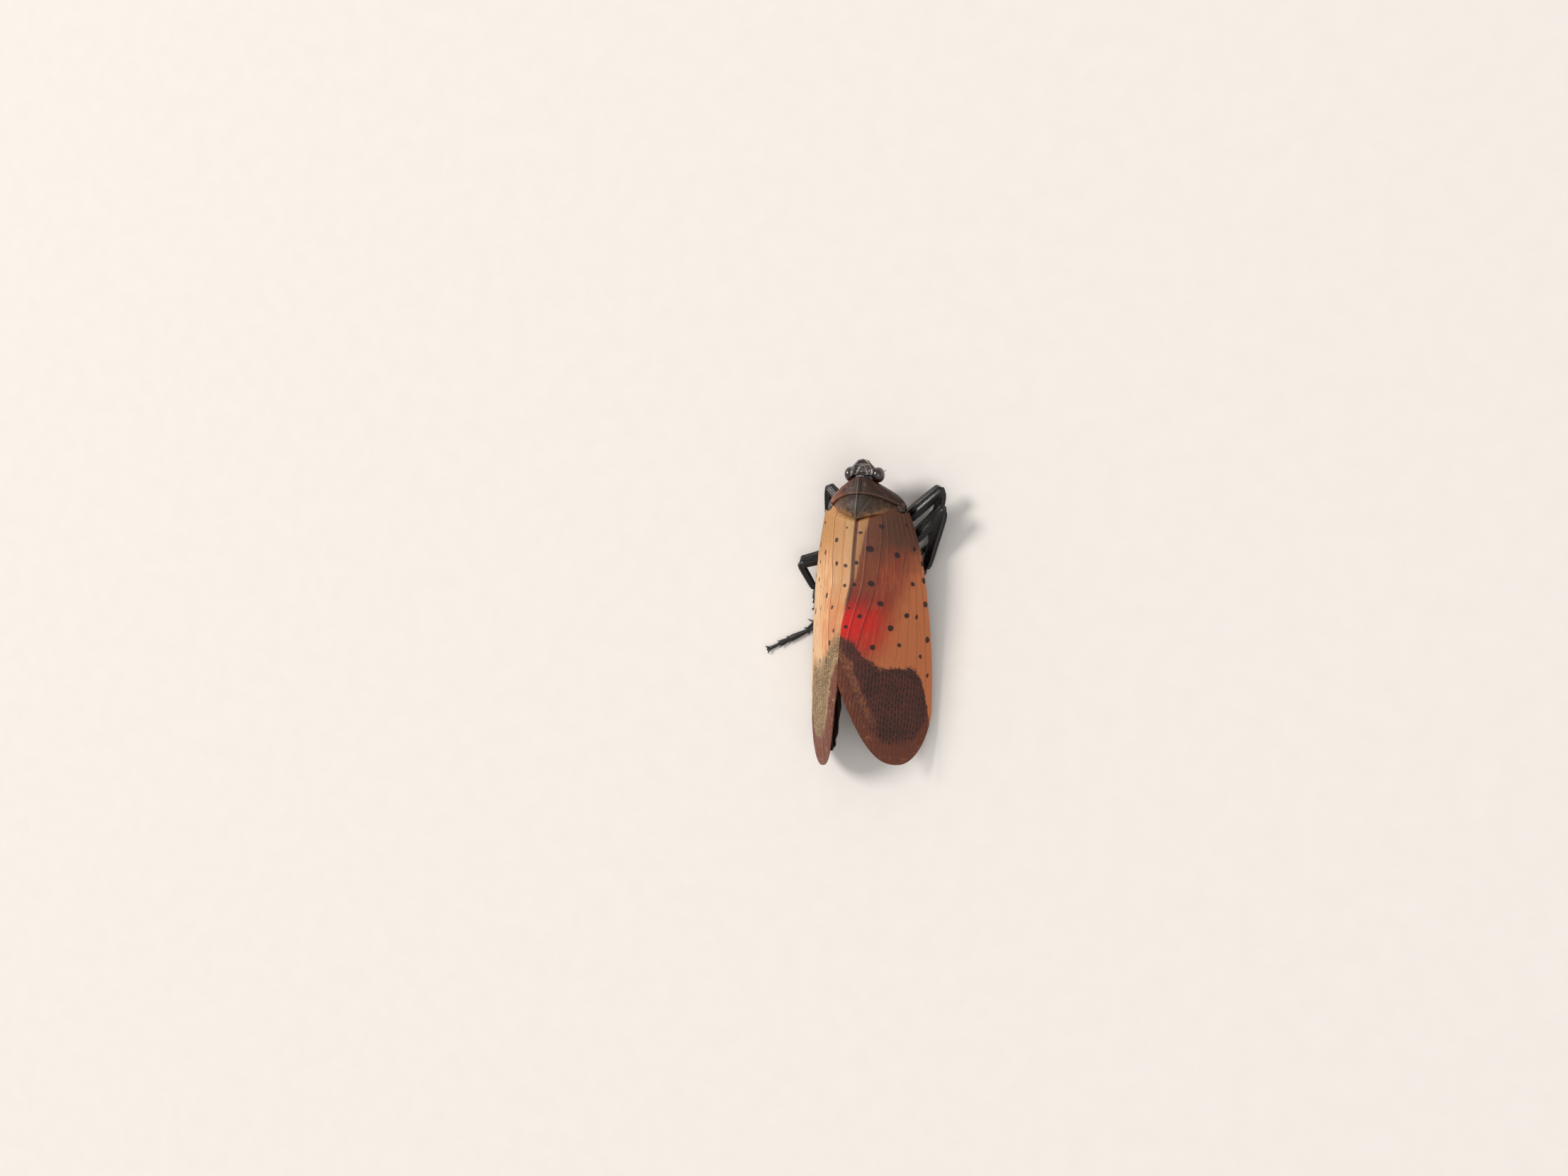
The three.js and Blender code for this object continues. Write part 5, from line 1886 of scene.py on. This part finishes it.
@dataclass
class Leg:
    """One leg from the end of its coxa: femur, tibia and the three joints of the foot."""

    name: str
    hip: tuple
    knee: tuple
    ankle: tuple
    toe: tuple
    seed: int
    sag: float = -0.12
    femur_half: float = 0.46
    tibia_half: float = 0.35
    foot_half: float = 0.26
    hind: bool = False
    foot_start_z: float = 0.3

    def way(self, start: tuple, end: tuple) -> np.ndarray:
        """The direction from one place to another."""
        return unit(np.array(end, float) - np.array(start, float))

    def piece(self, part: str, form: Form, node: str = "") -> Piece:
        """Finishes a part of the leg.

        Args:
            part: What the part is called.
            form: Its form, which is cut off flat at the floor.
            node: What its solid is called, if that differs.

        Returns:
            The piece.
        """
        solid = f"{self.name}_{node or part}"
        return Piece(f"{self.name}_{part}_shell", form.above_floor(), BLACK_CHITIN, "black", (solid,))

    def femur(self) -> Piece:
        """Builds the femur.

        Returns:
            The piece.
        """
        hip, knee = np.array(self.hip), np.array(self.knee)
        start = hip - self.way(hip, knee) * 0.12
        bow = start + (knee - start) * 0.6 - np.array([0, 0, self.sag])
        t = self.femur_half
        stations = [
            (0, 0.2, 0.22),
            (0.1, t * 0.55, 0.26),
            (0.3, t * 0.88, 0.33),
            (0.55, t, 0.37),
            (0.85, t * 0.93, 0.36),
            (0.95, t * 0.86, 0.33),
            (1, 0.32, 0.29),
        ]
        keels = (0, 68, 112, 180, 248, 292)
        limb = Limb([start, bow, knee], stations, keels=keels, keel_depth=0.15, rings=110, around=72)
        form = joined([limb.form(), *limb.bristles((0, 180, 270), 0.3, 0.1, self.seed)])
        return self.piece("femur", form)

    def crown(self, end: np.ndarray, along: np.ndarray, count: int, ring: float, length: float) -> list[Form]:
        """Sets a crown of spines round the end of a joint.

        Args:
            end: Where the joint ends.
            along: The way it points.
            count: How many spines.
            ring: How far their tips spread.
            length: How far their roots lie before their tips.

        Returns:
            The spines.
        """
        out = unit(np.cross([0.0, 0.0, 1.0], along))
        up = np.cross(along, out)
        spines = []
        for k in range(count):
            angle = math.pi * (k + 0.5) / count
            away = out * math.cos(angle) + up * math.sin(angle) * 0.6
            root = end - along * 0.25 + away * 0.06
            tip = end + along * (length - 0.3) + away * (ring + 0.12)
            spines.append(spike(root, tip, 0.09, bend=0.03, around=10))
        return spines

    def tibia(self) -> Piece:
        """Builds the tibia. The hind one has spines down its outer edge and round its end.

        Returns:
            The piece.
        """
        knee, ankle = np.array(self.knee), np.array(self.ankle)
        along = self.way(knee, ankle)
        start, end = knee - along * 0.06, ankle - along * 0.02
        t = self.tibia_half
        stations = [
            (0, 0.2, 0.2),
            (0.05, 0.27, 0.25),
            (0.1, t * 0.86, 0.28),
            (0.2, t, 0.3),
            (0.55, t * 0.97, 0.29),
            (0.9, t * 0.86, 0.26),
            (1, 0.24, 0.22),
        ]
        keels = tuple(range(0, 360, 60))
        path = [start, (start + end) / 2, end]
        limb = Limb(path, stations, keels=keels, keel_depth=0.17, rings=110, around=72)
        forms = [limb.form(), *limb.bristles((0, 60, 120, 180, 270), 0.26, 0.12, self.seed + 1)]
        if self.hind:
            out = unit(np.cross([0.0, 0.0, 1.0], along)) * (-1 if knee[0] > 0 else 1)
            for k, share in enumerate((0.3, 0.46, 0.62, 0.78)):
                root = start + (end - start) * share + out * 0.12
                forms.append(spike(root, root + out * (0.56 + 0.03 * k) + along * 0.42, 0.12, around=12))
            forms += self.crown(end, along, 6, 0.28, 0.46)
        return self.piece("tibia", joined(forms))

    def foot(self) -> Piece:
        """Builds the foot: three joints that widen to their ends, two hooked claws and a pad.

        Returns:
            The piece.
        """
        ankle, toe = np.array(self.ankle), np.array(self.toe)
        start = ankle - self.way(ankle, toe) * 0.05
        start[2] = self.foot_start_z
        along = unit((toe - start) * np.array([1, 1, 0]))
        out = np.cross([0.0, 0.0, 1.0], along)
        t = self.foot_half

        def at(share: float) -> np.ndarray:
            """A place along the foot."""
            return start + (toe - start) * share

        forms = []
        joints = ((0.0, 0.47, 0.7, 1.05), (0.41, 0.69, 0.55, 1.0), (0.63, 0.97, 0.42, 0.56))
        for k, (low, high, rear, front) in enumerate(joints):
            narrow, broad = rear * t, front * t
            stations = [
                (0, narrow * 0.8, narrow * 0.8),
                (0.2, narrow, narrow),
                (0.85, broad, broad * 0.95),
                (1, broad * 0.7, broad * 0.7),
            ]
            path = [at(low), (at(low) + at(high)) / 2, at(high)]
            limb = Limb(path, stations, keels=(0, 90, 180), keel_depth=0.12, rings=48, around=48)
            forms += [limb.form(), *limb.bristles((20, 160, 200, 340), 0.15, 0.13, self.seed + 3 + k)]
        for count, share in ((5, 0.46), (4, 0.68)):
            reach = (0.24, 0.5) if self.hind else (0.14, 0.38)
            forms += self.crown(at(share), along, count, *reach)
        forms.append(ellipsoid(at(0.985) - np.array([0, 0, 0.04]), (0.13, 0.13, 0.1), rings=20, around=28))
        for sign in (1, -1):
            root = at(0.93) + out * sign * 0.06
            bend = at(0.995) + out * sign * 0.26 + np.array([0, 0, 0.05])
            tip = at(1.015) + out * sign * 0.36
            tip[2] = SOLE + 0.04
            claw = [(0, 0.085, 0.085), (0.5, 0.06, 0.06), (1, 0.012, 0.012)]
            forms.append(Limb([root, bend, tip], claw, rings=24, around=14).form())
        return self.piece("foot", joined(forms), node="tarsus")

    def pieces(self) -> list[Piece]:
        """The leg's pieces."""
        return [self.femur(), self.tibia(), self.foot()]


def all_legs() -> list[Leg]:
    """Places the six legs as they stand.

    Returns:
        The legs.
    """
    hind = {"femur_half": 0.44, "tibia_half": 0.32, "foot_half": 0.27, "hind": True}
    return [
        Leg(
            "foreleg_left",
            hip=(1.5, -8.1, 2.05),
            knee=(4.23, -10.4, 1.75),
            ankle=(4.45, -6.3, 0.42),
            toe=(4.25, -4.4, 0.27),
            seed=101,
            femur_half=0.5,
        ),
        Leg(
            "foreleg_right",
            hip=(-1.9, -6.9, 2.05),
            knee=(-6.0, -10.45, 2.25),
            ankle=(-4.65, -5.9, 0.42),
            toe=(-3.1, -4.75, 0.27),
            seed=111,
            femur_half=0.62,
            tibia_half=0.48,
        ),
        Leg(
            "midleg_left",
            hip=(1.95, -5.35, 1.95),
            knee=(6.4, -3.9, 1.8),
            ankle=(5.5, -1.75, 0.42),
            toe=(5.4, -0.05, 0.27),
            seed=121,
            sag=0.62,
            femur_half=0.6,
        ),
        Leg(
            "midleg_right",
            hip=(-2.15, -4.9, 1.95),
            knee=(-6.4, -8.9, 2.7),
            ankle=(-4.25, -3.8, 0.42),
            toe=(-3.05, -2.2, 0.27),
            seed=131,
            sag=0.4,
            femur_half=0.62,
            tibia_half=0.5,
        ),
        Leg(
            "hindleg_left",
            hip=(1.3, -4.3, 1.7),
            knee=(2.6, -1.0, 1.1),
            ankle=(5.95, 1.75, 0.38),
            toe=(9.65, 3.6, 0.27),
            seed=141,
            **hind,
        ),
        Leg(
            "hindleg_right",
            hip=(-1.3, -4.3, 1.7),
            knee=(-2.6, -1.8, 1.35),
            ankle=(-4.2, 3.0, 0.4),
            toe=(-4.2, 7.2, 0.27),
            seed=151,
            **hind,
        ),
    ]


INNER_BLOTS = [
    Blot(-7.04, 0.393, 0.24, 0.17, 8),
    Blot(-5.18, 0.201, 0.33, 0.25, 4),
    Blot(-4.80, 0.598, 0.26, 0.23, 10),
    Blot(-2.55, 0.799, 0.19, 0.18),
    Blot(-2.41, 0.222, 0.30, 0.23, 10),
    Blot(-0.85, 0.368, 0.28, 0.21, 15),
    Blot(0.01, 0.707, 0.22, 0.24, 30),
    Blot(0.24, 0.159, 0.19, 0.18),
    Blot(1.07, 0.515, 0.25, 0.24, 30),
    Blot(2.41, 0.619, 0.17, 0.18),
    Blot(2.67, 0.326, 0.23, 0.21, 15),
]
OUTER_BLOTS = [
    Blot(-7.26, 0.854, 0.13, 0.12),
    Blot(-5.40, 0.900, 0.13, 0.26, 12),
    Blot(-4.24, 0.985, 0.14, 0.22),
    Blot(-2.89, 0.975, 0.19, 0.24),
    Blot(-0.97, 0.962, 0.22, 0.25),
    Blot(0.08, 0.833, 0.12, 0.24, 12),
    Blot(1.90, 0.958, 0.2, 0.27, 10),
    Blot(3.26, 0.866, 0.14, 0.19),
    Blot(4.82, 0.946, 0.12, 0.2, 15),
]
RIDGE_BLOTS = [Blot(-6.46, 0.059, 0.15, 0.12), Blot(-4.03, 0.035, 0.17, 0.15), Blot(-2.26, 0.03, 0.16, 0.15)]
RIDGE_BLOTS += [Blot(-0.37, 0.035, 0.1, 0.1), Blot(1.12, 0.04, 0.16, 0.15)]
LEFT_BLOTS = [
    Blot(-6.82, 0.121, 0.09, 0.08),
    Blot(-5.80, 0.301, 0.2, 0.2, -20),
    Blot(-3.90, 0.247, 0.19, 0.2, -12),
    Blot(-3.75, 0.092, 0.2, 0.14, -12),
    Blot(-2.17, 0.075, 0.18, 0.15, -10),
    Blot(-1.28, 0.389, 0.17, 0.22, -10),
    Blot(-0.23, 0.531, 0.15, 0.2),
    Blot(-0.35, 0.209, 0.15, 0.17, -15),
    Blot(1.49, 0.109, 0.13, 0.18, -10),
    Blot(2.52, 0.172, 0.16, 0.24, -10),
    Blot(4.04, 0.435, 0.08, 0.22),
    Blot(3.96, 0.230, 0.08, 0.24, 10),
    Blot(-4.04, 0.808, 0.16, 0.18),
    Blot(1.09, 0.636, 0.18, 0.17),
    Blot(-2.0, 0.66, 0.16, 0.18),
]


@dataclass
class Studio:
    """The floor, the soft lights and the camera at the photograph's angle and framing."""

    home: np.ndarray
    subject: tuple = (0.0, 0.0, 4.2)
    roll: float = 24.0
    tilt: float = 3.0
    distance: float = 150.0
    aside: float = -5.98
    above: float = 2.02
    lens: float = 42.5
    light_far: float = 1600.0
    sky: tuple = (1.0, 0.985, 0.97, 1.0)
    sky_strength: float = 0.5
    floor_half: float = 2500.0

    def axes(self) -> tuple[Vector, Vector, Vector]:
        """Works out the picture's own ways in the part's frame.

        Returns:
            The ways to the right, up and back toward the camera.
        """
        roll, tilt = math.radians(self.roll), math.radians(self.tilt)
        level_right, level_up = Vector((-math.cos(roll), 0, -math.sin(roll))), Vector((0, -1, 0))
        right = level_right * math.cos(tilt) + level_up * math.sin(tilt)
        up = level_up * math.cos(tilt) - level_right * math.sin(tilt)
        return right, up, right.cross(up)

    def camera(self) -> None:
        """Sets the camera up."""
        right, up, back = self.axes()
        middle = (Vector(self.subject) + Vector(self.home)) * MM
        aim = middle + (right * self.aside + up * self.above) * MM
        data = bpy.data.cameras.new("camera")
        data.lens, data.clip_start, data.clip_end = self.lens, 0.002, 50.0
        made = bpy.data.objects.new("camera", data)
        turn = Matrix((right, up, back)).transposed().to_4x4()
        made.matrix_world = Matrix.Translation(aim + back * self.distance * MM) @ turn
        bpy.context.scene.collection.objects.link(made)
        bpy.context.scene.camera = made

    def light(self, name: str, way: tuple, size: float, power: float, colour: tuple) -> None:
        """Adds a soft light that looks at the part.

        Args:
            name: Its name.
            way: The way from the part to the light.
            size: Its width in millimetres.
            power: Its power in watts.
            colour: Its colour.
        """
        data = bpy.data.lights.new(name, "AREA")
        data.shape, data.size, data.energy, data.color = "DISK", size * MM, power, colour
        made = bpy.data.objects.new(name, data)
        direction = Vector(way).normalized()
        made.location = direction * self.light_far * MM
        made.rotation_mode = "QUATERNION"
        made.rotation_quaternion = direction.to_track_quat("Z", "Y")
        bpy.context.scene.collection.objects.link(made)

    def build(self, bench: Bench) -> None:
        """Builds the whole studio.

        Args:
            bench: What makes the floor's material.
        """
        half = self.floor_half
        corners = np.array([[x * half, y * half, SOLE] for x, y in ((-1, -1), (1, -1), (1, 1), (-1, 1))])
        floor = bpy.data.objects.new("floor", bench.mesh("floor", Form(corners, np.array([[0, 1, 2, 3]]))))
        floor.data.materials.append(bench.dye(FloorSkin()))
        bpy.context.scene.collection.objects.link(floor)
        self.light("key", (0.75, -0.35, 0.9), size=560, power=16.5, colour=(1.0, 0.97, 0.93))
        self.light("fill", (-0.7, 0.3, 0.9), size=1000, power=5.5, colour=(0.95, 0.97, 1.0))
        world = bpy.data.worlds.new("studio")
        world.use_nodes = True
        sky = world.node_tree.nodes["Background"].inputs
        sky["Color"].default_value = self.sky
        sky["Strength"].default_value = self.sky_strength
        bpy.context.scene.world = world
        bpy.context.scene.view_settings.view_transform = "Standard"
        self.camera()


def main() -> None:
    """Builds the insect piece by piece, then the studio."""
    logging.basicConfig(level=logging.INFO, format="%(message)s")
    bench = Bench()
    mirrored_outer = INNER_BLOTS[2:4] + INNER_BLOTS[9:10]
    # The right wing takes the painted-shade palette and the strongest painted glow of light shining through
    # from the hindwing.
    forewings = [
        Forewing(Side.LEFT, 12.7, LEFT_BLOTS + OUTER_BLOTS + mirrored_outer, LEFT_WING_SKIN, "tan", 0.35),
        Forewing(Side.RIGHT, 12.15, INNER_BLOTS + OUTER_BLOTS + RIDGE_BLOTS, SHADED_RIGHT_WING_SKIN, "russet", 1.0),
    ]
    back = Back()
    pieces = [
        *Head().pieces(),
        back.pronotum(),
        back.mesonotum(),
        *Trunk(bench.home).pieces(),
        *(wing.piece() for wing in forewings),
        *(Hindwing(wing).piece() for wing in forewings),
        *(piece for leg in all_legs() for piece in leg.pieces()),
    ]
    for piece in pieces:
        bench.place(piece)
    Studio(bench.home).build(bench)
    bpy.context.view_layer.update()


if __name__ == "__main__":
    main()
